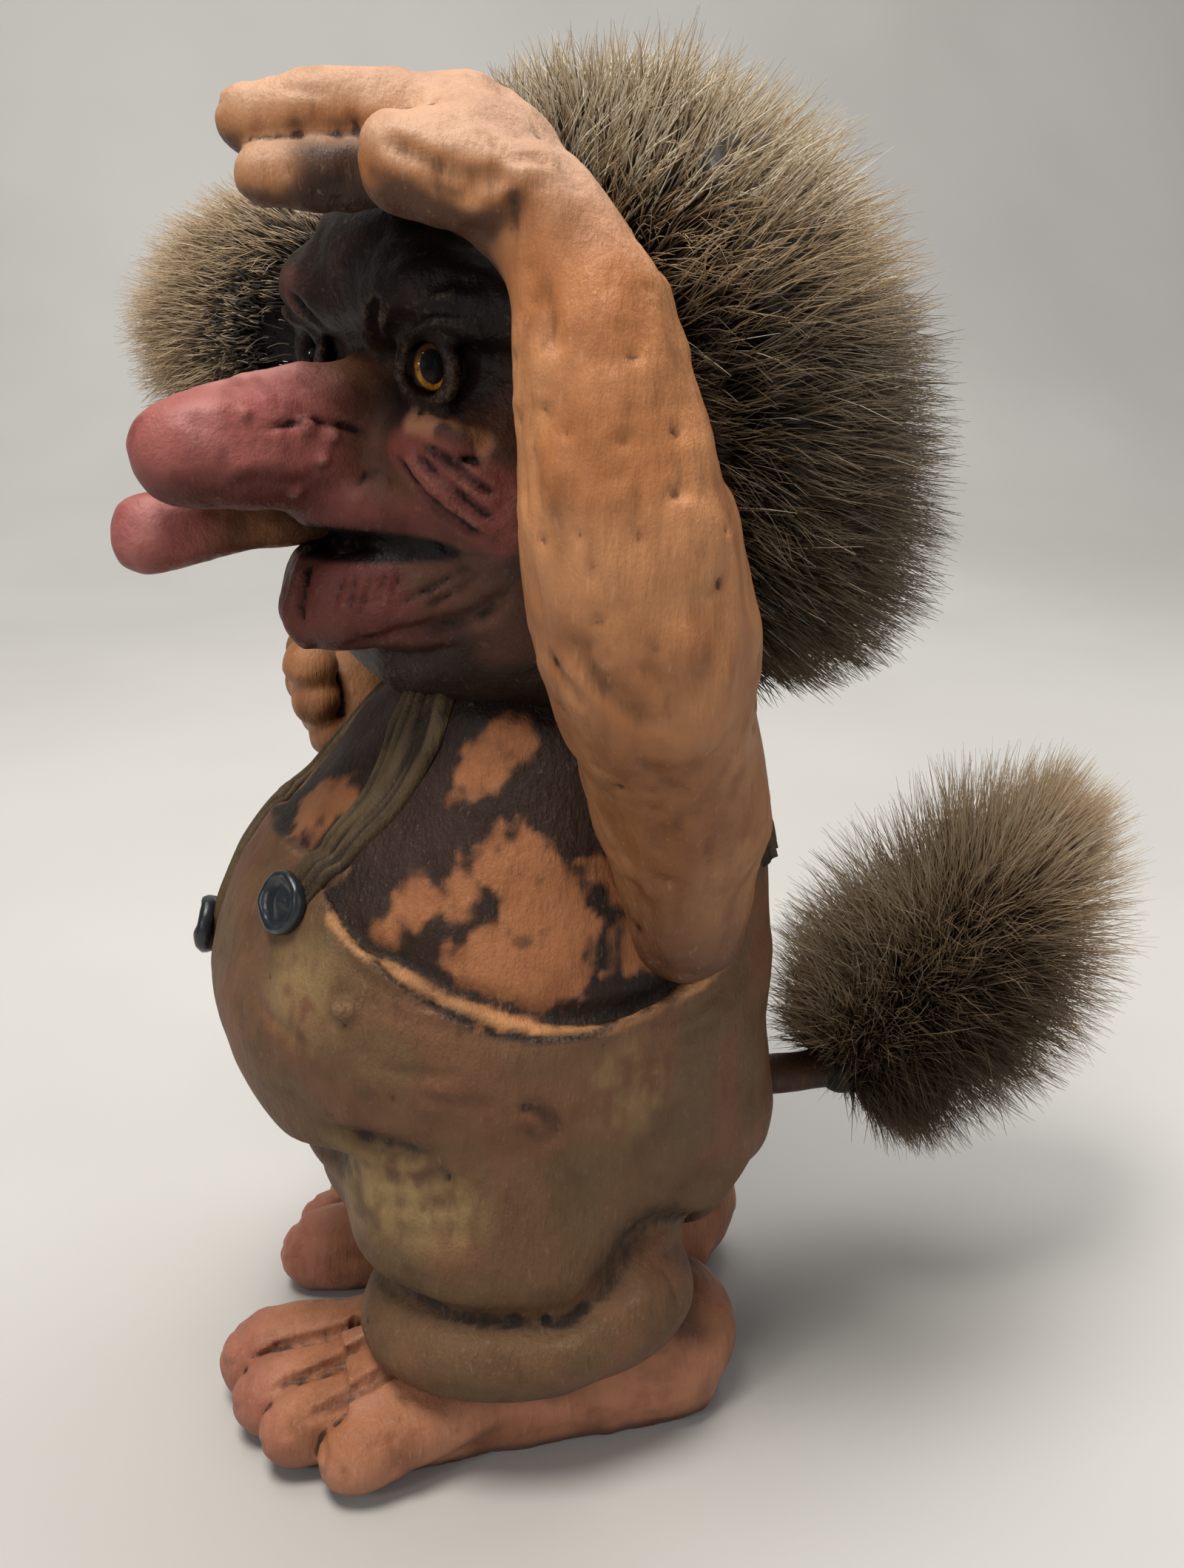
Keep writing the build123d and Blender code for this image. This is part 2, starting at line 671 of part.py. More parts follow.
for name, piece in {
    "trunk": trunk,
    "trunk_filling": trunk_filling,
    "left_leg": left_leg,
    "right_leg": right_leg,
    "left_foot": left_foot,
    "right_foot": right_foot,
    "left_ankle_peg": left_ankle_peg,
    "right_ankle_peg": right_ankle_peg,
    "head": head,
    "head_filling": head_filling,
    "neck_peg": neck_peg,
    "tongue": tongue,
    "left_ear": left_ear,
    "right_ear": right_ear,
    "left_eye": left_eye,
    "right_eye": right_eye,
    "left_iris": left_iris,
    "right_iris": right_iris,
    "left_eye_wire": left_eye_wire,
    "right_eye_wire": right_eye_wire,
    "left_arm": left_arm,
    "right_arm": right_arm,
    "left_shoulder_peg": left_shoulder_peg,
    "right_shoulder_peg": right_shoulder_peg,
    "left_strap": left_strap,
    "right_strap": right_strap,
    "left_button": left_button,
    "right_button": right_button,
    "wig_backing": wig_backing,
    "wig_fur": wig_fur,
    "tail_socket": tail_socket,
    "tail_stem": tail_stem,
    "tail_wire": tail_wire,
    "tail_wrap": tail_wrap,
    "tail_tuft": tail_tuft,
}.items():
    piece.part.label = name
    export_step(piece.part, f"parts/{name}.step")
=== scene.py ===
import math

import bpy
import numpy as np
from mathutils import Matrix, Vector


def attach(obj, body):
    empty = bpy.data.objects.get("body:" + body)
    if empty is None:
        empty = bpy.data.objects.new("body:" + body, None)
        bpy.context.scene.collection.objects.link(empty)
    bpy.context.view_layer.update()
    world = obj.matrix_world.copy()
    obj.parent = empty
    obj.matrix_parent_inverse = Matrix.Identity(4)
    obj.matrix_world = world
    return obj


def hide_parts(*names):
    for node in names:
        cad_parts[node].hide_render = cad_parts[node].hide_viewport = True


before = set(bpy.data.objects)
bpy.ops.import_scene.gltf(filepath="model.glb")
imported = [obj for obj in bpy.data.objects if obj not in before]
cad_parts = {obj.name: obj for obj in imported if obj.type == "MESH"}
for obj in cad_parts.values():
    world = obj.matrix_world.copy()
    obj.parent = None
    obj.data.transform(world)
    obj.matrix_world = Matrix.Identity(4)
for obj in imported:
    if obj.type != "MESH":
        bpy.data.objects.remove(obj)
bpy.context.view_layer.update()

# Places, in millimetres of the frame.
AXIS = np.array((0.67, -42.24, 0.0))
FACE_ORIGIN = AXIS + (0.0, 12.0, 0.0)
FACE_TURN = 25.0
LEFT_HEEL = AXIS + (29.0, 47.0, 0.0)
RIGHT_HEEL = AXIS + (-19.0, 62.0, 0.0)
RIGHT_FOOT_TURN = -12.0

# The photograph's camera: heading, pitch, focal length in its pixels, and place.
HEADING, PITCH = math.radians(78), math.radians(-18)
PHOTO_WIDTH, PHOTO_HEIGHT, FOCAL = 1600, 2119, 2240
EYE_POINT = AXIS + (327.8, -45.1, 240.0)

TRUNK = (
    (34, 0, 8, 34, 36), (44, 0, 12, 45, 46), (56, 0, 13, 50, 51), (72, 0, 6, 54, 57),
    (92, 0, 3, 56, 60), (110, 0, 4, 54, 57), (126, 0, 8, 50, 52), (140, 0, 14, 45, 46),
    (152, 0, 17, 38, 39), (160, 0, 18, 27, 28),
)
LEG = (
    (20, 34, 1, 22, 26), (25, 34, 2, 25, 30), (32, 34, 3, 26.5, 33), (40, 33, 3, 25, 31.5),
    (48, 32, 1, 26, 33), (62, 30, -3, 26, 31), (82, 27, 2, 24, 30),
)
SKULL = (
    (150, 0, 7, 21, 20), (158, 0, 2, 33, 31), (168, 0, -1, 40, 38), (182, 0, 0, 45, 42),
    (200, 0, 2, 46, 42), (218, 0, 3, 45, 40), (236, 0, 5, 40, 38), (250, 0, 7, 29, 28),
    (257, 0, 8, 13, 12),
)
WIG = (
    (155, -8, 62, 34, 14), (167, -8, 54, 60, 38), (188, -9, 46, 72, 51), (210, -10, 40.5, 77, 56),
    (235, -10, 37, 74, 55), (258, -8, 34, 58, 46), (273, -6, 34, 36, 29), (281, -5, 34, 15, 12),
)
FAR_LOCK = (
    (200, -57, -24, 17, 34), (212, -60, -19, 26, 46), (230, -60, -15, 29, 51), (247, -53, -9, 25, 46),
    (260, -44, -2, 16, 32),
)
LEFT_ARM = (
    (42, 34, 116, 12), (45, 33, 132, 15), (52, 29, 148, 16), (60, 24, 164, 16.5), (64, 19, 180, 17.5),
    (65, 16, 198, 18), (63, 13, 216, 15.5), (59, 11, 231, 12.2), (54, 5, 244, 11),
    (46, -5, 252.5, 10.8),
)
LEFT_FINGERS = (
    ((42, -5, 259, 8), (39, -22, 260, 7.6), (36, -39, 259.5, 6.3)),
    ((44, -5, 252, 8), (42, -20, 252, 6.8), (40, -37.5, 251, 5.8)),
    ((56, 3, 247.5, 9), (54.5, -6, 250, 8.6), (52, -17, 253, 7.5)),
    ((34, -2, 254, 8), (29, -17, 253.5, 7), (24, -31, 252, 6)),
)
RIGHT_ARM = (
    (-42, 34, 116, 12), (-47, 32, 128, 14.5), (-57, 25, 134, 14.5), (-64, 12, 131, 13.8),
    (-61, -2, 129, 13), (-53, -13, 134, 13), (-45, -21, 141, 13.5),
)
RIGHT_FINGERS = (
    ((-51, -31, 152, 5), (-33, -32, 152, 5.2)),
    ((-51, -31, 144, 5), (-33, -31, 144, 5.2)),
    ((-51, -28, 136, 5), (-34, -28, 136, 5)),
    ((-51, -24, 129, 4.8), (-36, -23, 129, 4.8)),
)
FOOT = (
    (0, 0, 7, 10), (4, 0, 12, 18), (14, 0, 16.5, 27), (35, -0.5, 19.5, 32), (58, 0, 20, 29),
    (78, 1, 22, 23), (90, 1, 21, 18),
)
TOES = (
    ((-13, -82, 10.5, 11), (-15, -98, 10, 10.2)),
    ((-2, -84, 9, 9), (-2, -97, 8.5, 8.4)),
    ((9, -80, 8.5, 8.6), (10, -92, 8, 8)),
    ((18, -72, 8, 8.2), (20, -82, 7.5, 7.6)),
)
LEFT_STRAP_BACK = ((26, 53, 136), (23, 61, 121))
RIGHT_STRAP = (
    (-14, -58, 98), (-14, -53, 112), (-16, -43, 126), (-19, -29, 139), (-23, -12, 150), (-27, 8, 156),
    (-29, 28, 155), (-28, 43, 147), (-26, 54, 135), (-23, 61, 121),
)
TAIL_STEM = (
    (-5, 65, 55, 4.6), (-5, 76, 55, 4.6), (-5, 86, 56, 4.6), (-5, 98, 64, 4.2), (-5, 112, 80, 3.6),
    (-5, 127, 101, 2.9),
)
TUFT = (
    (-5, 87, 59, 13), (-5, 93, 63, 24), (-5, 101, 70, 34), (-6, 111, 81, 39), (-6, 121, 93, 36),
    (-7, 129, 104, 27),
)

MM = 0.001  # metres
FAR = 30.0  # distance given to empty space
NOISE_CELLS = 32
TURNED_SIDES = 40
BOTH = ((1, 1, 1), (-1, 1, 1))  # as it is, and mirrored
SIDES = ((1, "left"), (-1, "right"))
LEGS = ((1, 0), (-1, 14))  # side, and how far back the leg stands
EYE_ACROSS, EYE_OUT, EYE_LEVEL, MOUTH_LEVEL = 20.5, -36.2, 220, 188.7


class Place:
    """Where a group of pieces is modelled: an origin in the frame and a turn about the vertical."""

    def __init__(self, origin, turn=0.0):
        c, s = math.cos(math.radians(turn)), math.sin(math.radians(turn))
        self.origin = np.array(origin, float)
        self.turn = np.array(((c, -s, 0), (s, c, 0), (0, 0, 1)))

    def out(self, p):
        return np.asarray(p, float) @ self.turn.T + self.origin

    def back(self, p):
        return (np.asarray(p, float) - self.origin) @ self.turn

    def aim_back(self, v):
        return np.asarray(v, float) @ self.turn


BODY = Place(AXIS)
FACE = Place(FACE_ORIGIN, FACE_TURN)
LEFT_SOLE = Place(LEFT_HEEL)
RIGHT_SOLE = Place(RIGHT_HEEL, RIGHT_FOOT_TURN)


def smooth_min(a, b, k):
    if k <= 0:
        return np.minimum(a, b)
    h = np.clip(0.5 + 0.5 * (b - a) / k, 0, 1)
    return b + (a - b) * h - k * h * (1 - h)


def flowing(stations, per=4):
    """A smooth run through the stations, all columns alike."""
    s = np.array(stations, float)
    if len(s) < 3:
        return s
    padded = np.vstack((2 * s[0] - s[1], s, 2 * s[-1] - s[-2]))
    run = []
    for i in range(1, len(s)):
        a, b, c, d = padded[i - 1 : i + 3]
        for t in np.arange(per) / per:
            bend, twist = a - 2.5 * b + 2 * c - 0.5 * d, 0.5 * (3 * b - a - 3 * c + d)
            run.append(b + 0.5 * (c - a) * t + bend * t * t + twist * t**3)
    run.append(s[-1])
    return np.array(run)


def handed(side, stations):
    """The stations of the left side, or their mirror image."""
    return [(side * s[0], *s[1:]) for s in stations]


def unit(v):
    return v / np.maximum(np.linalg.norm(v, axis=-1, keepdims=True), 1e-9)


def box(starts, stops):
    return tuple(slice(a, b) for a, b in zip(starts, stops))


def ellipse(u, v, rx, ry):
    """Distance from an ellipse, u and v being offsets in units of its half axes."""
    near = np.sqrt(u * u + v * v)
    steep = np.sqrt((u / rx) ** 2 + (v / ry) ** 2)
    return np.where(near < 0.3, -0.7 * np.minimum(rx, ry), near * (near - 1) / np.maximum(steep, 1e-6))


def between_corners(f, value):
    """Blends what value gives at the eight corners of a cell; f is the place within the cell."""
    total = 0
    for corner in np.ndindex(2, 2, 2):
        x, y, z = (f[:, i] if corner[i] else 1 - f[:, i] for i in range(3))
        total = total + x * y * z * value(corner)
    return total


def lattice_noise(p, scale, seed):
    """Smooth noise from 0 to 1 at points p; scale is the size of its lumps, one number or three."""
    grid = np.random.default_rng(seed).random((NOISE_CELLS,) * 3).astype(np.float32)
    q = np.asarray(p) / np.asarray(scale, float)
    cell = np.floor(q).astype(int)
    f = q - cell
    f = f * f * (3 - 2 * f)
    return between_corners(f, lambda corner: grid[tuple(((cell + corner) % NOISE_CELLS).T)])


def blob(centre, radii):
    """An ellipsoid."""
    c, r = np.array(centre, float), np.array(radii, float) * np.ones(3)

    def distance(x, y, z):
        u, v, w = (x - c[0]) / r[0], (y - c[1]) / r[1], (z - c[2]) / r[2]
        near = np.sqrt(u * u + v * v + w * w)
        steep = np.sqrt((u / r[0]) ** 2 + (v / r[1]) ** 2 + (w / r[2]) ** 2)
        return near * (near - 1) / np.maximum(steep, 1e-6)

    return [(c - r, c + r, distance)]


def rod(a, b):
    """A round bar from a to b, each (x, y, z, radius)."""
    a, b = np.array(a, float), np.array(b, float)
    along = b[:3] - a[:3]
    length2 = max(along @ along, 1e-9)

    def distance(x, y, z):
        u, v, w = x - a[0], y - a[1], z - a[2]
        t = np.clip((u * along[0] + v * along[1] + w * along[2]) / length2, 0, 1)
        u, v, w = u - t * along[0], v - t * along[1], w - t * along[2]
        return np.sqrt(u * u + v * v + w * w) - (a[3] + (b[3] - a[3]) * t)

    low = np.minimum(a[:3] - a[3], b[:3] - b[3])
    high = np.maximum(a[:3] + a[3], b[:3] + b[3])
    return [(low, high, distance)]


def tube(stations, per=4):
    run = flowing(stations, per)
    return [part for a, b in zip(run[:-1], run[1:]) for part in rod(a, b)]


def column(sections):
    """Level ellipses (z, x, y, half width, half depth) one above another."""
    run = flowing(sections, 8)
    low = np.array((*(run[:, 1:3] - run[:, 3:5]).min(0), run[0, 0]))
    high = np.array((*(run[:, 1:3] + run[:, 3:5]).max(0), run[-1, 0]))

    def distance(x, y, z):
        cx, cy, rx, ry = (np.interp(z, run[:, 0], run[:, i]) for i in range(1, 5))
        side = ellipse((x - cx) / rx, (y - cy) / ry, rx, ry)
        return np.maximum(side, np.maximum(run[0, 0] - z, z - run[-1, 0]))

    return [(low, high, distance)]


class Field:
    """A distance field on a grid, in millimetres of its place, that a piece is modelled in."""

    def __init__(self, place, low, high, step):
        self.place, self.step = place, step
        self.low = np.array(low, float)
        counts = np.ceil((np.array(high, float) - self.low) / step).astype(int) + 1
        self.axes = [(self.low[i] + step * np.arange(counts[i])) for i in range(3)]
        self.d = np.full(tuple(counts), FAR, np.float32)
        # Dark wash and painted shade along grooves and in pits.
        self.groove_wash_and_shade = np.zeros(tuple(counts), np.float32)

    def window(self, low, high):
        starts = np.floor((np.asarray(low) - self.low) / self.step).astype(int)
        stops = np.ceil((np.asarray(high) - self.low) / self.step).astype(int) + 1
        starts = np.clip(starts, 0, self.d.shape)
        stops = np.maximum(np.clip(stops, 0, self.d.shape), starts)
        return starts, stops

    def grids(self, starts, stops):
        x, y, z = (self.axes[i][starts[i] : stops[i]] for i in range(3))
        return x[:, None, None], y[None, :, None], z[None, None, :]

    def spread(self, shape, reach):
        """The shape's own distance over the cells near it."""
        low, high = np.min([s[0] for s in shape], 0), np.max([s[1] for s in shape], 0)
        starts, stops = self.window(low - reach, high + reach)
        near = np.full(tuple(stops - starts), FAR, np.float32)
        for low, high, distance in shape:
            a, b = self.window(low - reach, high + reach)
            cut = tuple(slice(i - s, j - s) for i, j, s in zip(a, b, starts))
            near[cut] = np.minimum(near[cut], distance(*self.grids(a, b)))
        return box(starts, stops), near

    def join(self, shape, blend=0.0):
        where, near = self.spread(shape, blend + 4)
        self.d[where] = smooth_min(self.d[where], near, blend)
        return self

    def cut(self, shape, blend=0.0):
        where, near = self.spread(shape, blend + 4)
        self.d[where] = -smooth_min(-self.d[where], near, blend)
        return self

    def sample(self, p, grid=None):
        grid = self.d if grid is None else grid
        q = (np.asarray(p, float) - self.low) / self.step
        q = np.clip(q, 0, np.array(self.d.shape) - 1.001)
        cell = q.astype(int)
        return between_corners(q - cell, lambda corner: grid[tuple((cell + corner).T)])

    def slope(self, p, h=1.2):
        p = np.asarray(p, float)
        steps = [self.sample(p + h * e) - self.sample(p - h * e) for e in np.eye(3)]
        n = np.stack(steps, 1)
        return n / np.maximum(np.linalg.norm(n, axis=1, keepdims=True), 1e-6)

    def settle(self, p):
        """Moves points onto the surface."""
        p = np.array(p, float)
        for _ in range(4):
            p = p - self.slope(p) * np.clip(self.sample(p), -4, 4)[:, None]
        return p

    def trace(self, pixels):
        """Where lines of sight through these pixels of the photograph first meet the surface."""
        aim = sight(pixels)
        start, aim = self.place.back(EYE_POINT), self.place.aim_back(aim)
        spots = []
        reach = np.arange(120.0, 560.0, 0.4)
        for a in aim:
            walk = start + reach[:, None] * a
            d = self.sample(walk)
            inside = np.all((walk > self.low) & (walk < self.low + self.step * (np.array(self.d.shape) - 1)), 1)
            d = np.where(inside, d, FAR)
            hits = np.nonzero(d < 0)[0]
            spots.append(walk[hits[0] if len(hits) else np.argmin(d)])
        return np.array(spots)

    def along(self, line, reach, fade, least):
        """Squared distance from a line, for the cells near it, and a fade towards its ends."""
        starts, stops = self.window(line.min(0) - reach, line.max(0) + reach)
        x, y, z = self.grids(starts, stops)
        best = np.full(tuple(np.maximum(stops - starts, 0)), 1e6, np.float32)
        share = np.zeros_like(best)
        for i, (a, b) in enumerate(zip(line[:-1], line[1:])):
            along = b - a
            u, v, w = x - a[0], y - a[1], z - a[2]
            t = np.clip((u * along[0] + v * along[1] + w * along[2]) / max(along @ along, 1e-9), 0, 1)
            gap = (u - t * along[0]) ** 2 + (v - t * along[1]) ** 2 + (w - t * along[2]) ** 2
            closer = gap < best
            best = np.where(closer, gap, best)
            share = np.where(closer, (i + t) / (len(line) - 1), share)
        ends = np.clip(np.minimum(share, 1 - share) / fade, least, 1)
        return box(starts, stops), best, ends * (2 - ends)

    def crease(self, points, width, height, fade=0.3):
        """Raises a ridge along a line on the surface, or cuts a groove if height is negative, darkened with dark
        wash and painted shade.
        """
        where, gap, ends = self.along(flowing(self.settle(points), 4), 4 * width, fade, 0)
        self.d[where] -= height * np.exp(-gap / width**2) * ends
        if height < 0:
            groove_wash_and_shade = min(0.8, -0.42 * height) * np.exp(-gap / (0.95 * width) ** 2) * ends
            self.groove_wash_and_shade[where] = np.maximum(self.groove_wash_and_shade[where], groove_wash_and_shade)
        return self

    def score(self, points, radius, blend=1.5, fade=0.25, dark=0.85):
        """Cuts a deep fold, round at the bottom and shallower towards its ends, darkened with dark wash and
        painted shade.
        """
        where, gap, ends = self.along(flowing(self.settle(points), 4), 3 * radius + 4, fade, 0.02)
        self.d[where] = -smooth_min(-self.d[where], np.sqrt(gap) - radius * ends, blend)
        groove_wash_and_shade = dark * np.exp(-gap / (1.05 * radius) ** 2) * ends
        self.groove_wash_and_shade[where] = np.maximum(self.groove_wash_and_shade[where], groove_wash_and_shade)
        return self

    def fold(self, pixels, radius, blend=1.5):
        return self.score(self.trace(pixels), radius, blend)

    def seam(self, pixels, width, height, fade=0.3):
        return self.crease(self.trace(pixels), width, height, fade)

    def roughen(self, scale, height, seed):
        """Lumps over the surface."""
        band = np.nonzero(np.abs(self.d) < 3 * abs(height) + 2 * self.step)
        p = np.stack([self.axes[i][band[i]] for i in range(3)], 1)
        self.d[band] -= (height * (2 * lattice_noise(p, scale, seed) - 1)).astype(np.float32)
        return self

    def dent(self, spacing, depth, radius, seed, share=1.0):
        """Small pits scattered over the surface."""
        rng = np.random.default_rng(seed)
        band = np.argwhere(np.abs(self.d) < 0.6 * self.step)
        wanted = int(share * len(band) * self.step**2 / spacing**2)
        for cell in band[rng.integers(0, len(band), wanted)]:
            c = self.low + self.step * cell
            r = radius * (0.5 + rng.random())
            starts, stops = self.window(c - 2.5 * r, c + 2.5 * r)
            x, y, z = self.grids(starts, stops)
            gap = ((x - c[0]) ** 2 + (y - c[1]) ** 2 + (z - c[2]) ** 2) / r**2
            where = box(starts, stops)
            self.d[where] += depth * (0.4 + rng.random()) * np.exp(-gap)
            # Dark wash and painted shade in the pit.
            self.groove_wash_and_shade[where] = np.maximum(self.groove_wash_and_shade[where], 0.4 * np.exp(-1.6 * gap))
        return self

    def surface(self):
        """The surface's vertices, in millimetres of the place, and its four-sided faces."""
        d = self.d
        for i in range(3):
            for edge in (0, -1):
                rim = [slice(None)] * 3
                rim[i] = edge
                d[tuple(rim)] = np.maximum(d[tuple(rim)], 0.2)
        inside = d < 0
        cells = np.array(d.shape) - 1
        flats, spots, quads = [], [], []
        for axis in range(3):
            one, two = (axis + 1) % 3, (axis + 2) % 3
            lower, upper = [slice(None)] * 3, [slice(None)] * 3
            lower[axis], upper[axis] = slice(None, -1), slice(1, None)
            edges = np.argwhere(inside[tuple(lower)] != inside[tuple(upper)])
            far = edges.copy()
            far[:, axis] += 1
            here, there = d[tuple(edges.T)], d[tuple(far.T)]
            spot = edges.astype(float)
            spot[:, axis] += here / (here - there)
            corners = []
            for a, b in ((-1, -1), (0, -1), (0, 0), (-1, 0)):
                cell = edges.copy()
                cell[:, one] += a
                cell[:, two] += b
                flat = np.ravel_multi_index(tuple(cell.T), tuple(cells))
                corners.append(flat)
                flats.append(flat)
                spots.append(spot)
            quad = np.stack(corners, 1)
            outward = inside[tuple(edges.T)]
            quads.append(np.where(outward[:, None], quad, quad[:, ::-1]))
        flats, spots, quads = np.concatenate(flats), np.concatenate(spots), np.concatenate(quads)
        used, order = np.unique(flats, return_inverse=True)
        count = np.bincount(order)
        vertices = np.stack([np.bincount(order, spots[:, i]) / count for i in range(3)], 1)
        return self.low + self.step * vertices, np.searchsorted(used, quads)


def sight(pixels):
    """Directions of the lines of sight through pixels of the photograph."""
    level = math.cos(PITCH)
    ahead = np.array((-math.sin(HEADING) * level, math.cos(HEADING) * level, math.sin(PITCH)))
    right = np.array((math.cos(HEADING), math.sin(HEADING), 0))
    up = np.cross(right, ahead)
    p = np.array(pixels, float)
    return unit(FOCAL * ahead + (p[:, :1] - PHOTO_WIDTH / 2) * right - (p[:, 1:] - PHOTO_HEIGHT / 2) * up)


def linear(r, g, b):
    """A colour given as 0 to 255 display values, made linear."""
    c = np.array((r, g, b), float) / 255
    return np.where(c <= 0.04045, c / 12.92, ((c + 0.055) / 1.055) ** 2.4)


def blended(a, b, share):
    return a + (b - a) * np.clip(share, 0, 1)[:, None]


def coat(colour, p):
    """One colour for all the points."""
    return np.tile(colour, (len(p), 1))


def layered(colour, *coats):
    """Coats of paint one over another, each a colour and its share at every point."""
    for tint, share in coats:
        colour = blended(colour, tint, share)
    return colour


def rise(value, low, high):
    """From 0 at low to 1 at high, smoothly."""
    t = np.clip((value - low) / (high - low), 0, 1)
    return t * t * (3 - 2 * t)


def off_line(p, line):
    """Distance of each point from a line of points."""
    best = np.full(len(p), 1e9)
    for a, b in zip(line[:-1], line[1:]):
        along = b - a
        t = np.clip((p - a) @ along / max(along @ along, 1e-9), 0, 1)
        best = np.minimum(best, ((p - a - t[:, None] * along) ** 2).sum(1))
    return np.sqrt(best)


def add_layers(mesh, layers):
    """Point layers: three columns make a colour, one column a number."""
    for layer, values in layers.items():
        values = np.asarray(values, np.float32)
        if values.ndim == 2:
            full = np.ones((len(values), 4), np.float32)
            full[:, :3] = values
            mesh.attributes.new(layer, "FLOAT_COLOR", "POINT").data.foreach_set("color", full.ravel())
        else:
            mesh.attributes.new(layer, "FLOAT", "POINT").data.foreach_set("value", values)


def make_mesh(name, points, faces, layers):
    """An object from points in millimetres of the frame, with smooth faces and point layers."""
    mesh = bpy.data.meshes.new(name)
    mesh.vertices.add(len(points))
    mesh.vertices.foreach_set("co", (np.asarray(points) * MM).astype(np.float32).ravel())
    mesh.loops.add(faces.size)
    mesh.loops.foreach_set("vertex_index", faces.astype(np.int32).ravel())
    mesh.polygons.add(len(faces))
    mesh.polygons.foreach_set("loop_start", np.arange(0, faces.size, faces.shape[1], dtype=np.int32))
    mesh.update(calc_edges=True)
    add_layers(mesh, layers)
    mesh.shade_smooth()
    obj = bpy.data.objects.new(name, mesh)
    bpy.context.scene.collection.objects.link(obj)
    return obj


def mount(obj, finish, body, slot, *nodes):
    """Gives a piece its finish and has it ride on a body in place of these nodes; slot is not used."""
    obj.data.materials.append(finish)
    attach(obj, body)
    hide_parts(*nodes)


def relief(points, faces, rounds):
    """How far each vertex lies below the mean of its surroundings, along their outward normal."""
    pairs = np.concatenate([faces[:, (i, (i + 1) % 4)] for i in range(4)])
    ends = np.concatenate((pairs, pairs[:, ::-1]))
    here, there = ends.T
    count = np.bincount(here, minlength=len(points)).clip(1)
    smooth = points.copy()
    for _ in range(rounds):
        smooth = np.stack([np.bincount(here, smooth[there, i], len(points)) / count for i in range(3)], 1)
    return smooth - points


def cast(name, field, paint, finish, slot, nodes, body="figure"):
    """A painted casting from a field; it stands for these nodes."""
    points, faces = field.surface()
    facing = field.slope(points)
    near = (relief(points, faces, 3) * facing).sum(1)
    wide = (relief(points, faces, 14) * facing).sum(1)
    # Dark wash and painted shade in the hollows: darker where a vertex sits below its surroundings.
    recess_wash_and_shade = 0.55 * rise(near, 0.04, 0.30) + 0.75 * rise(wide, 0.12, 1.1)
    recess_wash_and_shade = np.maximum(recess_wash_and_shade, field.sample(points, field.groove_wash_and_shade))
    worn = 0.6 * rise(-near, 0.05, 0.30) + 0.5 * rise(-wide, 0.15, 1.0)
    colour = paint(points, facing)
    # Painted shade: surfaces that face downwards are darkened.
    colour = colour * (1 - 0.40 * rise(-facing[:, 2], 0.0, 0.9))[:, None]
    layers = {"paint": colour, "recess_wash_and_shade": recess_wash_and_shade, "worn": worn}
    mount(make_mesh(name, field.place.out(points), faces, layers), finish, body, slot, *nodes)


class Graph:
    """A material's nodes."""

    def __init__(self, name):
        self.material = bpy.data.materials.new(name)
        self.material.use_nodes = True
        self.tree = self.material.node_tree
        self.tree.nodes.clear()
        self.coords = self.node("ShaderNodeTexCoord").outputs["Object"]

    def node(self, kind, **inputs):
        node = self.tree.nodes.new(kind)
        for key, value in inputs.items():
            self.put(node.inputs[key.replace("_", " ")], value)
        return node

    def put(self, socket, value):
        if isinstance(value, bpy.types.NodeSocket):
            self.tree.links.new(value, socket)
        elif isinstance(value, (tuple, list, np.ndarray)) and socket.type == "RGBA":
            socket.default_value = (*[float(v) for v in value[:3]], 1)
        else:
            socket.default_value = value

    def layer(self, name, output="Fac"):
        node = self.node("ShaderNodeAttribute")
        node.attribute_name = name
        return node.outputs[output]

    def noise(self, scale, detail=4, rough=0.55, stretch=None):
        where = self.coords
        if stretch:
            mapping = self.node("ShaderNodeMapping", Vector=where)
            mapping.inputs["Scale"].default_value = stretch
            where = mapping.outputs[0]
        made = self.node("ShaderNodeTexNoise", Vector=where, Scale=scale, Detail=detail, Roughness=rough)
        return made.outputs["Fac"]

    def maths(self, how, a, b=0.0):
        node = self.tree.nodes.new("ShaderNodeMath")
        node.operation = how
        self.put(node.inputs[0], a)
        self.put(node.inputs[1], b)
        return node.outputs[0]

    def ramp(self, value, low, high):
        node = self.node("ShaderNodeMapRange", Value=value, From_Min=low, From_Max=high)
        node.interpolation_type = "SMOOTHSTEP"
        return node.outputs[0]

    def mix(self, share, a, b, how="MIX"):
        node = self.tree.nodes.new("ShaderNodeMix")
        node.data_type = "RGBA"
        node.blend_type = how
        self.put(node.inputs["Factor"], share)
        self.put(node.inputs[6], a)
        self.put(node.inputs[7], b)
        return node.outputs[2]

    def times(self, a, b):
        return self.maths("MULTIPLY", a, b)

    def bump(self, height, strength, distance):
        return self.node("ShaderNodeBump", Height=height, Strength=strength, Distance=distance).outputs[0]

    def surface(self, **inputs):
        skin = self.node("ShaderNodeBsdfPrincipled", **inputs)
        out = self.node("ShaderNodeOutputMaterial")
        self.tree.links.new(skin.outputs[0], out.inputs[0])
        return self.material


WASH_SHADE_TINT = linear(58, 36, 25)


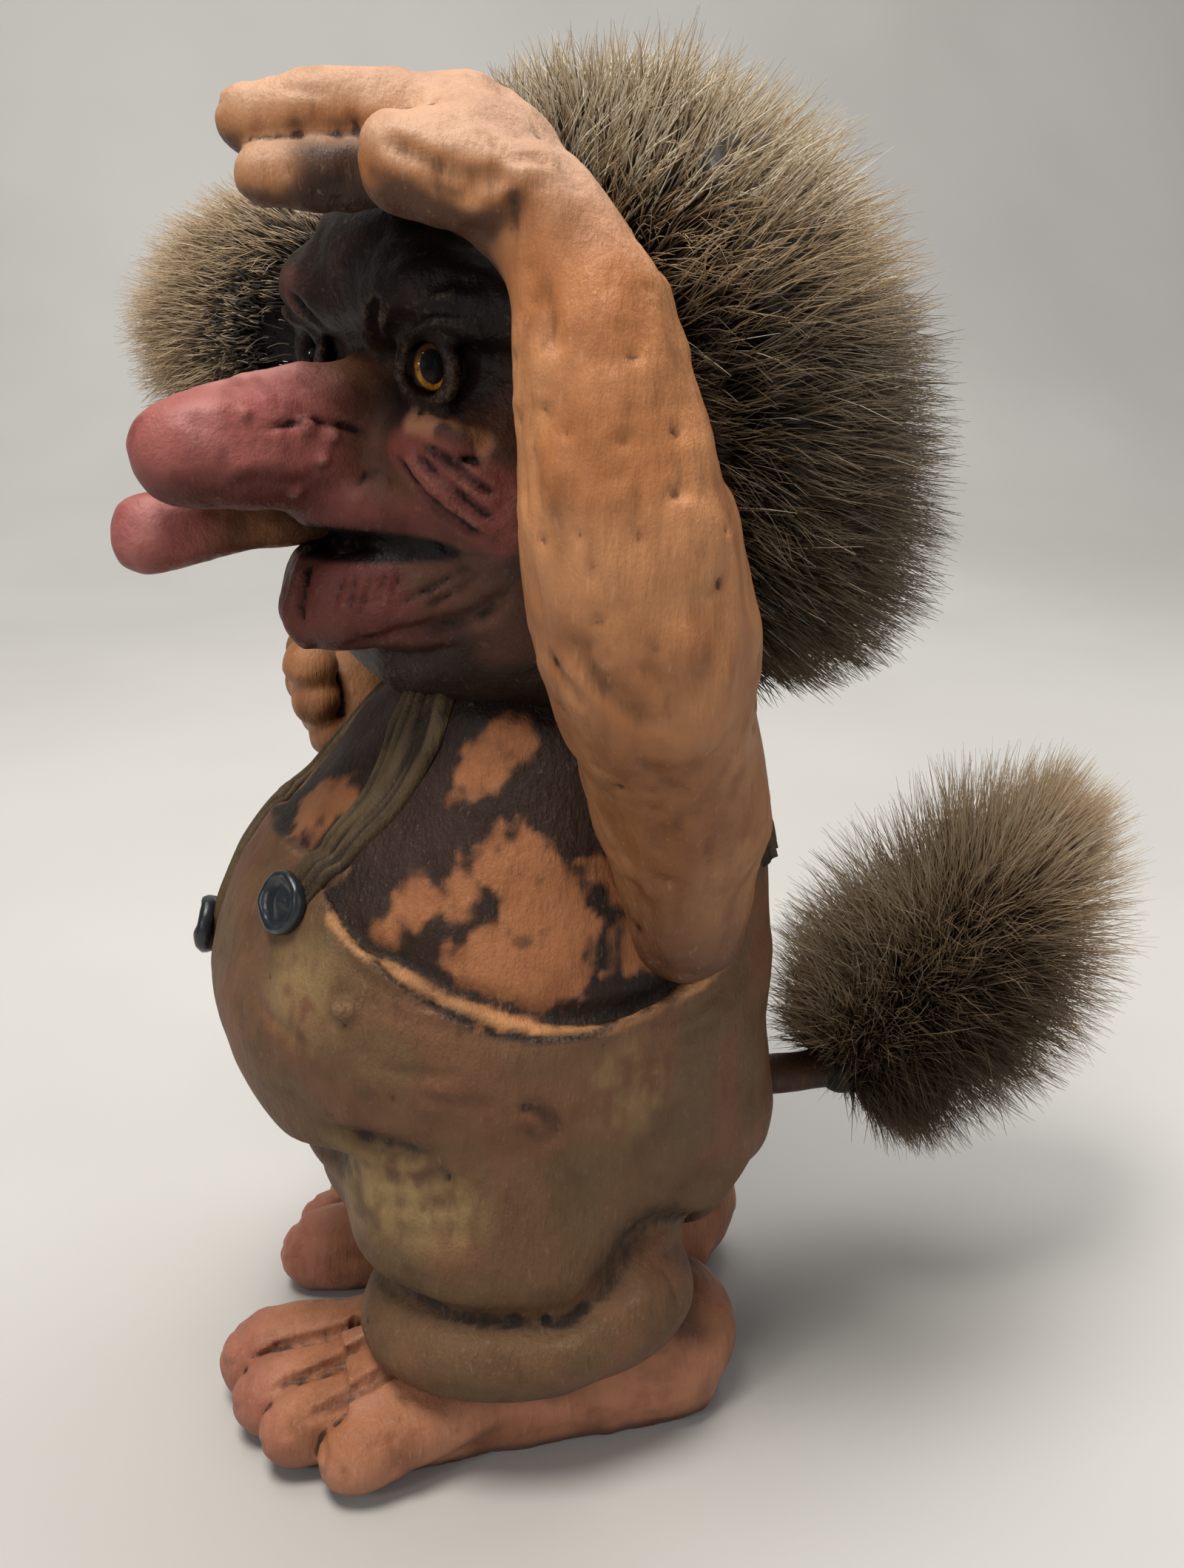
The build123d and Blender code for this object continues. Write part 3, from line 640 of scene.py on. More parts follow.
def painted(name, rough, stretch, grain, wash=WASH_SHADE_TINT, rub=0.40, gloss=0.30):
    """Rubber painted by hand: its colour layer, a dark wash in the hollows that is partly painted shade, and
    rubbed edges.
    """
    g = Graph(name)
    patches = g.noise(95, 5, 0.6)
    streaks = g.noise(380, 5, 0.65, stretch)
    scratches = g.noise(900, 3, 0.6, stretch)
    fine = g.noise(1500, 3, 0.6)
    base = g.layer("paint", "Color")
    deep = g.mix(1.0, base, (0.50, 0.42, 0.37), "MULTIPLY")
    colour = g.mix(g.times(g.ramp(patches, 0.42, 0.75), 0.55), base, deep)
    colour = g.mix(g.times(g.ramp(streaks, 0.52, 0.74), 0.34), colour, deep)
    colour = g.mix(g.times(g.ramp(fine, 0.60, 0.74), 0.20), colour, deep)
    # Dark wash and painted shade in the hollows, broken up by the streaks.
    caught = g.maths("ADD", g.layer("recess_wash_and_shade"), g.times(g.maths("SUBTRACT", streaks, 0.5), 0.7))
    colour = g.mix(g.times(g.ramp(caught, 0.12, 0.80), 0.93), colour, wash)
    pale = g.mix(0.45, base, (0.80, 0.55, 0.36))
    rubbed = g.times(g.ramp(g.layer("worn"), 0.25, 0.8), g.ramp(fine, 0.40, 0.62))
    rubbed = g.maths("MAXIMUM", rubbed, g.times(g.ramp(scratches, 0.60, 0.72), 0.6))
    colour = g.mix(g.times(rubbed, rub), colour, pale)
    height = g.maths("ADD", streaks, g.times(scratches, 0.5))
    height = g.maths("ADD", height, g.times(fine, 0.25))
    normal = g.bump(height, grain, 0.0016)
    shine = g.maths("ADD", rough, g.times(g.maths("SUBTRACT", patches, 0.5), 0.25))
    return g.surface(Base_Color=colour, Roughness=shine, Specular_IOR_Level=gloss, Normal=normal)


def plain(name, colour, rough, metallic=0.0, scale=300, depth=0.25):
    """A plain finish with a little mottling and grain."""
    g = Graph(name)
    grain = g.noise(scale, 4, 0.6)
    shade = g.mix(g.ramp(grain, 0.35, 0.7), colour, np.array(colour) * 0.72)
    normal = g.bump(grain, depth, 0.0005)
    return g.surface(Base_Color=shade, Roughness=rough, Metallic=metallic, Normal=normal)


FINE = 1.0
STEP, TRUNK_STEP, FOOT_STEP = 0.8 * FINE, 1.0 * FINE, 0.7 * FINE
SHAPE_STEP, SCALP_STEP, UNDERCOAT_STEP = 2.0, 1.5, 1.6 * FINE

# Each finish's wash tint darkens its hollows: dark wash and painted shade.
skin = painted("painted_skin", 0.50, (1, 1, 0.18), 0.38)
face_skin = painted("painted_face", 0.46, (0.5, 0.5, 0.5), 0.42, linear(16, 10, 8), 0.15, 0.16)
cloth = painted("painted_dungarees", 0.60, (1, 1, 0.35), 0.6, linear(34, 24, 18), 0.25)

TAN, LIT_TAN, BROWN = linear(190, 132, 88), linear(200, 158, 128), linear(118, 74, 48)
PINK, ROSE, DARK_FACE = linear(156, 90, 84), linear(196, 140, 134), linear(30, 21, 18)
OLIVE, KHAKI = linear(108, 79, 53), linear(108, 90, 63)
TERRACOTTA, TOE_PINK = linear(178, 120, 90), linear(160, 98, 84)


def lip_tube(corner, front, radius):
    """A lip along a bow from one corner of the mouth to the other."""
    across, back, level = corner
    middle, height = front
    stations = []
    for t in np.linspace(-1, 1, 13):
        bow = 1 - t * t
        stations.append((across * t, back + (middle - back) * bow, level + (height - level) * bow, radius))
    return tube(stations, 1)


# Head: swells and lips as (x, y, z, radius) stations; the face's own frame looks along -y.
FOREHEAD = ((-10, -26, 237, 14), (0, -26.5, 237, 14.2), (10, -26, 237, 14))
BROW = ((5, -34.5, 229, 6.2), (19, -34.5, 232, 8), (35, -21, 229, 7.5))
CHEEK = ((16, -33, 206, 9), (25, -28, 199, 10.5), (33, -19, 191, 11))
CHIN = ((-11, -23, 168, 11.5), (0, -25, 167.5, 12), (11, -23, 168, 11.5))
NOSE = (
    (0, -28, 206.5, 13.5), (0, -42, 207, 13), (0, -55, 207, 12.2), (0, -66, 206.8, 10.4), (0, -72.5, 206.6, 8.8),
)
# Each lip: its corner (across, back, level), its front (out, level), radius and blend.
LIPS = (
    ((27, -20, 193.5), (-47, 195), 4.6, 5),
    ((24, -18, 178), (-48, 175.5), 6.6, 4),
    ((25, -20, 183.5), (-47.5, 182), 4.6, 3.5),
)
# Each lid: the part of a half turn that it covers, and its radius.
LIDS = ((0.05, 0.95, 2.0), (1.1, 1.9, 1.5))
# Lines on the face, by pixels of the photograph, with width and height; a height of 0 means a cut.
LIP_RIM = ((418, 742), (404, 790), (396, 835), (412, 862))
EYE_BAG = (((562, 570), (592, 581), (622, 592), (650, 600)), 2.6, 2.4)
UNDER_EYE = (
    (((570, 598), (608, 622), (656, 624)), 1.3, 0),
    (((556, 556), (600, 562), (648, 574)), 1.4, -0.9),
)
CHEEK_FOLDS = (
    (((543, 606), (578, 648), (620, 690), (674, 728)), 2.4, 2.0),
    (((568, 606), (612, 646), (674, 686)), 2.0, 1.5),
    (((596, 616), (640, 642), (676, 660)), 1.6, 1.2),
)
CHEEK_AND_BROW_LINES = (
    (((556, 606), (596, 648), (636, 682), (676, 708)), 1.1, 0),
    (((583, 612), (630, 645), (676, 672)), 1.0, 0),
    (((528, 612), (556, 652), (600, 696), (660, 728)), 1.4, 0),
    (((543, 455), (583, 433), (630, 440), (668, 462)), 2.0, 1.5),
    (((535, 470), (548, 440), (585, 418), (640, 424)), 1.2, 0),
    (((520, 486), (503, 440), (512, 400)), 1.4, 0),
    (((540, 500), (530, 455), (545, 410)), 1.3, -1.5),
    (((560, 395), (610, 380), (665, 385)), 1.4, -1.1),
)
NOSE_FOLD = ((350, 580), (395, 572), (440, 570), (480, 580), (522, 598))
NOSE_SEAMS = ((((300, 640), (360, 625), (420, 640)), 2.2, 1.0), (((260, 560), (320, 545), (380, 545)), 2.0, 0.8))
WARTS = (((412, 577), 1.9), ((449, 589), 1.5), ((436, 620), 1.4), ((330, 560), 1.3), ((400, 664), 1.2))
LIP_LINES = (
    ((640, 764), (604, 782), (560, 800)),
    ((622, 776), (578, 798), (536, 816)),
    ((655, 772), (610, 802), (570, 824)),
    ((468, 776), (458, 800), (450, 824)),
    ((485, 774), (476, 800), (470, 826)),
    ((504, 774), (496, 798), (490, 822)),
    ((524, 774), (514, 796), (508, 818)),
    ((545, 772), (534, 792), (526, 808)),
    ((424, 756), (412, 800), (410, 846)),
)
JAW_FOLD = ((470, 872), (530, 862), (598, 846), (650, 830), (690, 800))
JAW_SEAM = ((520, 890), (570, 885), (630, 870))
UPPER_LIP_FOLDS = ((((330, 690), (362, 712), (400, 738)), 0.8), (((360, 690), (384, 708), (412, 728)), 0.7))

head = Field(FACE, (-54, -88, 146), (54, 50, 262), STEP)
head.join(column(SKULL))
head.join(tube(FOREHEAD), 5)
for side, _ in SIDES:
    head.join(tube(handed(side, BROW)), 4)
    head.join(tube(handed(side, CHEEK)), 6)
head.join(tube(CHIN), 7)
head.join(tube(NOSE), 5)
for corner, front, radius, blend in LIPS:
    head.join(lip_tube(corner, front, radius), blend)
head.join(tube([(*spot, 1.7) for spot in head.trace(LIP_RIM)]), 2)
opening = []
for t in np.linspace(-1, 1, 13):
    bow = 1 - t * t
    opening.append((25 * t, -34 - 26 * bow, 189.2 - 0.6 * bow, 0.5 + 2.6 * math.sqrt(bow)))
head.cut(tube(opening, 1), 0.8)
for side, _ in SIDES:
    head.cut(blob((side * EYE_ACROSS, -36.5, EYE_LEVEL), (5.7, 6.5, 5.6)), 1.2)
    for low, high, radius in LIDS:
        lid = []
        for a in np.linspace(low * math.pi, high * math.pi, 9):
            wide, tall = 6.2 * math.cos(a), 6.0 * math.sin(a)
            lid.append((side * (EYE_ACROSS + wide), EYE_OUT + 0.25 * wide, EYE_LEVEL + tall, radius))
        head.join(tube(lid, 2), 2.2)
head.roughen(15, 0.9, 11)
head.roughen(5.5, 0.35, 12)


def both_sides(field, pixels, width, height):
    """A fold traced on the near side of the face, and its copy on the far side: cut if height is 0."""
    line = field.trace(pixels)
    for way in BOTH:
        if height:
            field.crease(line * way, width, height)
        else:
            field.score(line * way, width, 0.9)
    return line


bag = both_sides(head, *EYE_BAG)
for fold in UNDER_EYE:
    both_sides(head, *fold)
folds = [both_sides(head, *fold) for fold in CHEEK_FOLDS]
for fold in CHEEK_AND_BROW_LINES:
    both_sides(head, *fold)
head.fold(NOSE_FOLD, 0.9, 0.8)
for seam in NOSE_SEAMS:
    head.seam(*seam)
for pixel, size in WARTS:
    head.join(blob(head.trace([pixel])[0], size), 0.8)
for line in LIP_LINES:
    head.fold(line, 0.65, 0.5)
head.fold(JAW_FOLD, 1.6, 2.0)
head.seam(JAW_SEAM, 1.4, -0.8)
for pixels, radius in UPPER_LIP_FOLDS:
    head.fold(pixels, radius, 0.6)
head.roughen(2.6, 0.16, 13)


def head_paint(p, facing):
    lumps, flecks = lattice_noise(p, 9, 21), lattice_noise(p, 3.5, 20)
    x, y, z = p.T
    up = facing[:, 2]
    around_eye = rise(-np.hypot(np.abs(x) - EYE_ACROSS, z - EYE_LEVEL), -15, -8)
    bridge = rise(z, 206, 212) * rise(-z, -225, -220) * rise(-y, 36, 42) * rise(-np.abs(x), -12, -6)
    nose = rise(-y + 8 * lumps, 44, 60) * rise(z, 190, 197)
    cheek = np.max([rise(-off_line(p, line * way), -5.0, -2.0) for line in folds for way in BOTH], 0)
    pouch = np.max([rise(-off_line(p, bag * way), -3.4, -1.2) for way in BOTH], 0)
    lips = rise(-y, 30, 42) * rise(z, 167, 173) * rise(-z, -189, -186)
    upper = rise(-y, 30, 40) * rise(z, 189, 191) * rise(-z, -200, -196)
    # Painted shade along the mouth's gap, narrowing towards the corners.
    half = 3.5 * np.sqrt(np.clip(1 - (x / 29) ** 2, 0, 1))
    mouth_gap_shade = rise(half - np.abs(z - MOUTH_LEVEL), -0.5, 0.7) * rise(-y, 29, 34)
    return layered(
        coat(linear(88, 58, 45), p),
        # Darker brown mottling, more of it lower on the face: partly painted shade towards the chin.
        (linear(48, 34, 28), rise(lumps + 0.02 * (186 - z), 0.35, 0.75)),
        # Dark paint and the painted shadow of the raised hand over the forehead and round the eyes.
        (DARK_FACE, rise(z + 4 * lumps, 219, 227)),
        (DARK_FACE, 0.9 * around_eye),
        (linear(134, 88, 62), 0.8 * bridge),
        (PINK, 0.95 * nose),
        # Painted highlight: paler rose on the nose's upward faces, in patches.
        (ROSE, 0.5 * nose * rise(lumps, 0.5, 0.8) * rise(up, -0.1, 0.6)),
        (linear(112, 58, 54), 0.55 * nose * rise(flecks, 0.50, 0.78)),
        # Painted shade on the nose's underside.
        (linear(92, 48, 42), 0.8 * nose * rise(-up, 0.1, 0.7)),
        (linear(124, 66, 60), 0.85 * cheek),
        (linear(176, 122, 90), 0.85 * pouch * rise(flecks, 0.40, 0.6)),
        (linear(100, 53, 47), 0.9 * lips * rise(lumps + 0.03 * (182 - z), 0.2, 0.6)),
        (linear(104, 54, 48), 0.8 * upper),
        # Painted shade: black along the mouth's gap.
        (linear(12, 8, 7), 0.97 * mouth_gap_shade),
    )


cast("troll_head", head, head_paint, face_skin, "flesh_rubber", ["head"])

TONGUE = ((-11, -36, 190, 4.6), (-13, -52, 190.4, 4.8), (-15, -64, 190.4, 6.6), (-16, -72.5, 190.2, 7.8))
tongue = Field(FACE, (-30, -86, 174), (2, -28, 206), STEP)
tongue.join(tube(TONGUE, 4))
tongue.roughen(8, 0.7, 14)
tongue.roughen(3, 0.25, 15)


def tongue_paint(p, facing):
    lumps = lattice_noise(p, 6, 22)
    out = -p[:, 1]
    return layered(
        coat(linear(132, 88, 60), p),
        (linear(86, 54, 40), rise(lumps, 0.5, 0.8)),
        (PINK, rise(out + 5 * lumps, 62, 73)),
        (ROSE, 0.5 * rise(out, 66, 76) * rise(lumps, 0.45, 0.8)),
    )


cast("troll_tongue", tongue, tongue_paint, face_skin, "pink_rubber", ["tongue"])

EAR = ((189, 48, 2, 5, 4), (196, 49, 1, 7.5, 5), (207, 49, 0, 9, 5.5), (217, 49, 0, 7.5, 5), (224, 48, 1, 5, 3.5))


def ear_paint(p, facing):
    lumps = lattice_noise(p, 8, 23)
    # Brown with dark mottling; the darkness partly stands for the shade under the wig.
    return blended(coat(linear(92, 60, 44), p), linear(48, 34, 28), rise(lumps, 0.3, 0.7))


for side, name in SIDES:
    near, far = sorted((side * 36, side * 68))
    ear = Field(FACE, (near, -10, 182), (far, 14, 232), STEP)
    ear.join(column([(z, side * x, y, rx, ry) for z, x, y, rx, ry in EAR]))
    ear.join(blob((side * 49, 2.5, 188), (6, 4, 5)), 3).join(blob((side * 49, 2, 224), (6, 3.5, 5)), 3)
    ear.cut(blob((side * 52, -7, 207), (5, 5, 11)), 3)
    ear.roughen(6, 0.4, 15)
    cast(f"troll_{name}_ear", ear, ear_paint, skin, "flesh_rubber", [f"{name}_ear"])


# Trunk and legs: bare flesh with the dungarees raised on it.
def grown(sections, by):
    return [(z, x, y, rx + by, ry + by) for z, x, y, rx, ry in sections]


def dungaree_zone(p):
    """Above 0 where the dungarees cover the trunk."""
    x, y, z = p.T
    armhole = np.hypot((y - 8) / 1.04, z - 147) - 47 + 1.2 * (lattice_noise(p, 12, 39) - 0.5)
    return np.minimum(128 - z, np.maximum(31 - np.abs(x), armhole))


LOW, HIGH = (-66, -62, 8), (66, 72, 166)
trunk = Field(BODY, LOW, HIGH, TRUNK_STEP)
trunk.join(column(grown(TRUNK, -2)))
dungarees = Field(BODY, LOW, HIGH, TRUNK_STEP)
dungarees.join(column(grown(TRUNK, 0.2)))
band = np.nonzero(np.abs(dungarees.d) < 8)
zone = dungaree_zone(np.stack([dungarees.axes[i][band[i]] for i in range(3)], 1))
dungarees.d[band] = np.maximum(dungarees.d[band], -zone)
CUFF_LEVEL, CUFF_RADIUS = 31.0, 9.3
for side, back in LEGS:
    leg = Field(BODY, LOW, HIGH, TRUNK_STEP)
    leg.join(column([(z, side * x, y + back, rx - 1.5, ry - 1.5) for z, x, y, rx, ry in LEG]))
    ring = []
    for a in np.linspace(0, 2 * math.pi, 25):
        c, s = math.cos(a), math.sin(a)
        ring.append((side * 34 + 18.5 * c, 3 + back + 25 * s, CUFF_LEVEL + 2 * s, CUFF_RADIUS))
    leg.join(tube(ring, 2), 3)
    leg.join(blob((side * 31, -14 + back, 54), (19, 16, 16)), 6)
    leg.join(blob((side * 35, 20 + back, 35), (23, 18, 14)), 4)
    dungarees.d = smooth_min(dungarees.d, leg.d, 5)
trunk.d = smooth_min(trunk.d, dungarees.d, 0.6)
trunk.join(blob((10, 1, 152), (22, 17, 13)), 8)
for side, _ in SIDES:
    trunk.cut(blob((side * 38, 66, 45), (20, 20, 13)), 3)
UNDER_BELLY = (
    (-46, -8, 72), (-40, -24, 69), (-28, -36, 66), (-10, -42, 64), (8, -43, 64), (22, -38, 65), (36, -30, 71),
)
trunk.score(np.array(UNDER_BELLY), 4.6, 3.0, 0.15)
trunk.roughen(20, 1.1, 31)
trunk.roughen(7, 0.45, 32)
trunk.dent(10, 0.45, 0.9, 30, 0.6)
# Lines on the dungarees, by pixels of the photograph; the seams with width and height.
WAIST = (
    (447, 1240), (487, 1280), (553, 1323), (600, 1350), (667, 1377),
    (747, 1397), (820, 1390), (887, 1360), (947, 1327), (993, 1280),
)
BELLY_FOLD = ((462, 1530), (490, 1545), (530, 1556), (572, 1560))
PIT, BUMP = (737, 1783), (466, 1362)
# Spots for painted highlights on the dungarees.
CLOTH_HIGHLIGHT_PIXELS = ((530, 1610), (590, 1625), (480, 1600), (850, 1470), (400, 1340))
TRUNK_SEAMS = (
    ([(455, 1290), (520, 1338), (610, 1368)], 1.3, -1.2),
    ([(450, 1330), (540, 1372), (640, 1400), (720, 1412)], 1.6, -0.8),
    ([(880, 1700), (905, 1730), (915, 1770)], 1.1, -0.9),
    ([(700, 1506), (724, 1500), (746, 1518), (752, 1552)], 1.8, -1.8),
    ([(704, 1520), (722, 1540), (740, 1550)], 1.6, -1.2),
    ([(505, 1590), (560, 1596), (620, 1590)], 2.0, -0.9),
    ([(500, 1625), (560, 1634), (640, 1628)], 1.8, -0.8),
    ([(520, 1660), (590, 1668), (650, 1660)], 1.8, -0.7),
    ([(880, 1345), (930, 1318), (975, 1280)], 0.9, -0.9),
    ([(905, 1385), (950, 1362), (985, 1330)], 0.9, -0.8),
    ([(880, 1410), (930, 1396), (975, 1375)], 0.9, -0.7),
    ([(870, 1440), (915, 1432), (960, 1420)], 0.9, -0.6),
    ([(500, 1440), (560, 1452), (630, 1455)], 1.2, -0.7),
    ([(560, 1480), (620, 1492), (680, 1490)], 1.2, -0.7),
    ([(330, 1330), (370, 1380), (430, 1420)], 1.6, -0.8),
    ([(520, 1250), (580, 1290), (650, 1310)], 1.0, -0.8),
    ([(640, 1080), (665, 1050), (672, 1020)], 1.2, -0.9),
    ([(560, 1150), (600, 1200), (610, 1260)], 1.4, -0.9),
)
waist = trunk.trace(WAIST)
far_waist = waist * (-1, 1, 1)
for line in (waist, far_waist):
    trunk.crease(line, 1.5, 1.3)
    trunk.crease(line + (0, 0, 3.4), 1.9, -2.0, 0.1)
for seam in TRUNK_SEAMS:
    trunk.seam(*seam)
for side, back in LEGS:
    above_cuff = []
    for a in np.linspace(math.pi, 3 * math.pi, 33):
        lift = 9 * rise(math.sin(a), 0.1, 0.9)
        above_cuff.append((side * (34 + 25 * math.cos(a)), 3 + back + 31 * math.sin(a), 41 + lift))
    trunk.score(np.array(above_cuff), 2.2, 3.0, 0.1, 0.75)
    trunk.crease(np.array(above_cuff[17:24]) + (0, 0, 3), 5.5, -1.7, 0.5)
trunk.score(trunk.trace(BELLY_FOLD), 2.4, 4.0, 0.4, 0.6)
pit, bump = trunk.trace((PIT, BUMP))
trunk.cut(blob(pit, 0.9), 0.6)
trunk.join(blob(bump, (2.6, 2.6, 2.2)), 1.5)
UNDER_SEAT = ((34, 46, 44), (20, 55, 46), (8, 58, 52), (0, 60, 62))
FRONT_SEAM = ((0, -50, 60), (0, -52, 72), (0, -55, 88), (0, -52, 110))
for side, _ in SIDES:
    trunk.crease(handed(side, UNDER_SEAT), 2.6, -1.4)
trunk.crease(FRONT_SEAM, 1.6, -1.0)
# Bare patches worn through to the flesh: pixel and radius in millimetres.
PATCHES = (
    (700, 1175, 8), (735, 1235, 10), (745, 1300, 8), (700, 1330, 9), (650, 1305, 7), (625, 1215, 4.5),
    (655, 1035, 6.5), (692, 1000, 5), (560, 1215, 6), (520, 1260, 4), (420, 1095, 7), (460, 1080, 6),
    (840, 1180, 6), (870, 1270, 7),
)
patch_spots = trunk.trace([(u, v) for u, v, _ in PATCHES])
cloth_highlight_spots = trunk.trace(CLOTH_HIGHLIGHT_PIXELS)


def trunk_paint(p, facing):
    lumps = lattice_noise(p, 14, 33)
    flecks = 0.45 * lattice_noise(p, 5, 19) + 0.3 * lattice_noise(p, 2.0, 18)
    flecks = flecks + 0.25 * lattice_noise(p, (1.6, 1.6, 7), 29)
    bare = np.zeros(len(p))
    for spot, (_, _, radius) in zip(patch_spots, PATCHES):
        for way in BOTH:
            gap = np.linalg.norm(p - spot * way, axis=1)
            bare = np.maximum(bare, rise(radius * (0.05 + 1.7 * flecks) - gap, -1.4, 1.4))
    # Bare flesh: dark brown, partly dark wash and partly painted shade under the head and arm, with tan patches.
    flesh = layered(
        coat(linear(54, 34, 25), p),
        (linear(36, 24, 19), rise(lumps, 0.4, 0.75)),
        (linear(170, 110, 70), 0.92 * bare),
        (linear(150, 92, 56), 0.35 * bare * rise(lumps, 0.5, 0.8)),
    )
    gaps = [np.linalg.norm(p - spot, axis=1) for spot in cloth_highlight_spots]
    trousers = layered(
        coat(OLIVE, p),
        (linear(118, 80, 55), rise(lumps, 0.42, 0.75)),
        (linear(104, 82, 54), 0.7 * rise(lattice_noise(p, 12, 17), 0.5, 0.8)),
        # Painted highlights: paler khaki round the knee and other raised spots.
        *((linear(152, 126, 84), 0.7 * rise(-gap, -15, -3) * rise(flecks, 0.3, 0.6)) for gap in gaps),
    )
    dressed = np.where(p[:, 2] > 90, rise(dungaree_zone(p), -0.4, 0.4), 1.0)
    edge = np.minimum(off_line(p, waist), off_line(p, far_waist))
    rim = 0.8 * rise(-edge, -2.0, -0.8) * rise(flecks, 0.25, 0.5)
    return layered(flesh, (trousers, dressed), (linear(206, 148, 96), rim))


cast("troll_trunk", trunk, trunk_paint, cloth, "dungaree_rubber", ["trunk", "left_leg", "right_leg"])


# Bare feet.
def foot_field(place, hand, seed):
    foot = Field(place, (-34, -114, -1), (34, 8, 38), FOOT_STEP)
    run = flowing(FOOT, 6)

    def distance(x, y, z):
        back = np.clip(-y, run[0, 0], run[-1, 0])
        side, half, top = (np.interp(back, run[:, 0], run[:, i]) for i in (1, 2, 3))
        low = 0.4 * top
        tall = top - low
        wall = ellipse((x - hand * side) / half, (z - low) / tall, half, tall)
        return np.maximum(wall, np.maximum(y + 6, -y - run[-1, 0] + 8))

    foot.join([(np.array((-24.0, -90, 0)), np.array((24.0, 0, 33)), distance)])
    foot.join(blob((0, -14, 14), (17, 17, 17)), 5)
    for (ax, ay, _, ar), (bx, by, _, br) in TOES:
        stations = (
            (hand * 0.62 * ax, ay + 26, 15.5, 0.95 * ar),
            (hand * 0.9 * ax, ay + 8, 12.5, 0.92 * ar),
            (hand * (0.5 * ax + 0.5 * bx), 0.5 * (ay + by), 10.2, 0.92 * ar),
            (hand * bx, by + 2.5, 9.6, 0.96 * br),
            (hand * bx, by - 0.8, 8.6, 0.90 * br),
        )
        foot.join(tube(stations, 4), 1.2)
    foot.roughen(9, 0.6, seed)
    foot.roughen(3.5, 0.28, seed + 1)
    for one, two in zip(TOES[:-1], TOES[1:]):
        gap = []
        for share, y in ((1.0, -4.0), (0.55, 6.0), (0.0, 14.0), (-0.8, 24.0), (-1.6, 36.0)):
            x = 0.5 * (one[0][0] + two[0][0]) * (1 - 0.2 * (1 - share))
            x += 0.5 * max(share, 0) * (one[1][0] - one[0][0])
            gap.append((hand * x, 0.5 * (one[1][1] + two[1][1]) + y, 15 + 0.25 * y))
        foot.score(np.array(gap), 1.9, 1.0, 0.4)
    for _, (bx, by, bz, br) in TOES:
        rim = []
        for a in np.linspace(0, 2 * math.pi, 13):
            across, up = 0.55 * br * math.cos(a), 0.42 * br * math.sin(a)
            rim.append((hand * bx + across, by - 0.78 * br, bz + 0.42 * br + up))
        foot.crease(np.array(rim), 0.8, -0.8, 0.01)
    foot.dent(8, 0.5, 0.9, seed + 2)
    foot.cut([(np.array((-60.0, -140, -10)), np.array((60.0, 40, 0)), lambda x, y, z: z + 0 * x + 0 * y)])
    return foot


def foot_paint(p, facing):
    lumps = lattice_noise(p, 8, 41)
    y, z = p[:, 1], p[:, 2]
    # The ankle mask marks the painted shade under the trouser cuff.
    ankle = rise(z + 5 * lumps, 21, 27) * rise(y, -74, -60) * (1 - 0.75 * rise(y, -16, 0))
    return layered(
        coat(TERRACOTTA, p),
        (BROWN, 0.5 * rise(lumps, 0.45, 0.8)),
        # Painted light: an orange tint on the upward-facing tops, in patches.
        (linear(174, 112, 74), 0.6 * rise(facing[:, 2], 0.2, 0.8) * rise(lumps, 0.3, 0.6)),
        (TOE_PINK, 0.6 * rise(-y + 6 * lumps, 94, 104)),
        # Painted shade: dark brown round the ankle under the trouser cuff.
        (linear(62, 40, 31), 0.9 * ankle),
        (linear(90, 56, 42), 0.6 * rise(-z, -5, -1)),
    )


left_foot = foot_field(LEFT_SOLE, 1, 42)
VENT = ((-7.5, -79, 12, 1.35), (-7.5, -79, 30, 1.35))
left_foot.cut(tube(VENT))
cast("troll_left_foot", left_foot, foot_paint, skin, "flesh_rubber", ["left_foot"])
right_foot = foot_field(RIGHT_SOLE, -1, 45)
cast("troll_right_foot", right_foot, foot_paint, skin, "flesh_rubber", ["right_foot"])


# Arms.
def arm_paint(p, facing):
    lumps = lattice_noise(p, 13, 51)
    streaks = lattice_noise(p, (3.5, 3.5, 18), 50)
    x, y, z = p.T
    up, hand = facing[:, 2], rise(z, 225, 240)
    # Painted shade under the hand, and a painted shadow over the palm and the lower finger.
    under = rise(-up, 0.10, 0.6) * hand
    palm_shadow = rise(-z, -257.5, -254) * rise(y, -37, -30) * hand * rise(-x, -50.5, -48.5)
    colour = layered(
        coat(TAN, p),
        (linear(172, 112, 68), rise(lumps, 0.4, 0.8)),
        (linear(150, 94, 58), 0.55 * rise(streaks, 0.6, 0.85)),
        # Painted light: paler tan on the hand's upward faces.
        (LIT_TAN, 0.8 * rise(z, 236, 256) * rise(up, -0.2, 0.5)),
        (linear(78, 50, 37), 0.85 * under),
        (linear(58, 37, 28), 0.92 * palm_shadow),
        (linear(104, 64, 42), 0.8 * rise(-z + 10 * lumps, -128, -108)),
    )
    # Painted light and shade: lighter high on the arm, darker lower down, and a little less light on the hand's
    # top.
    return colour * (1.08 - 0.32 * rise(-z, -222, -135) - 0.13 * rise(z, 232, 250))[:, None]


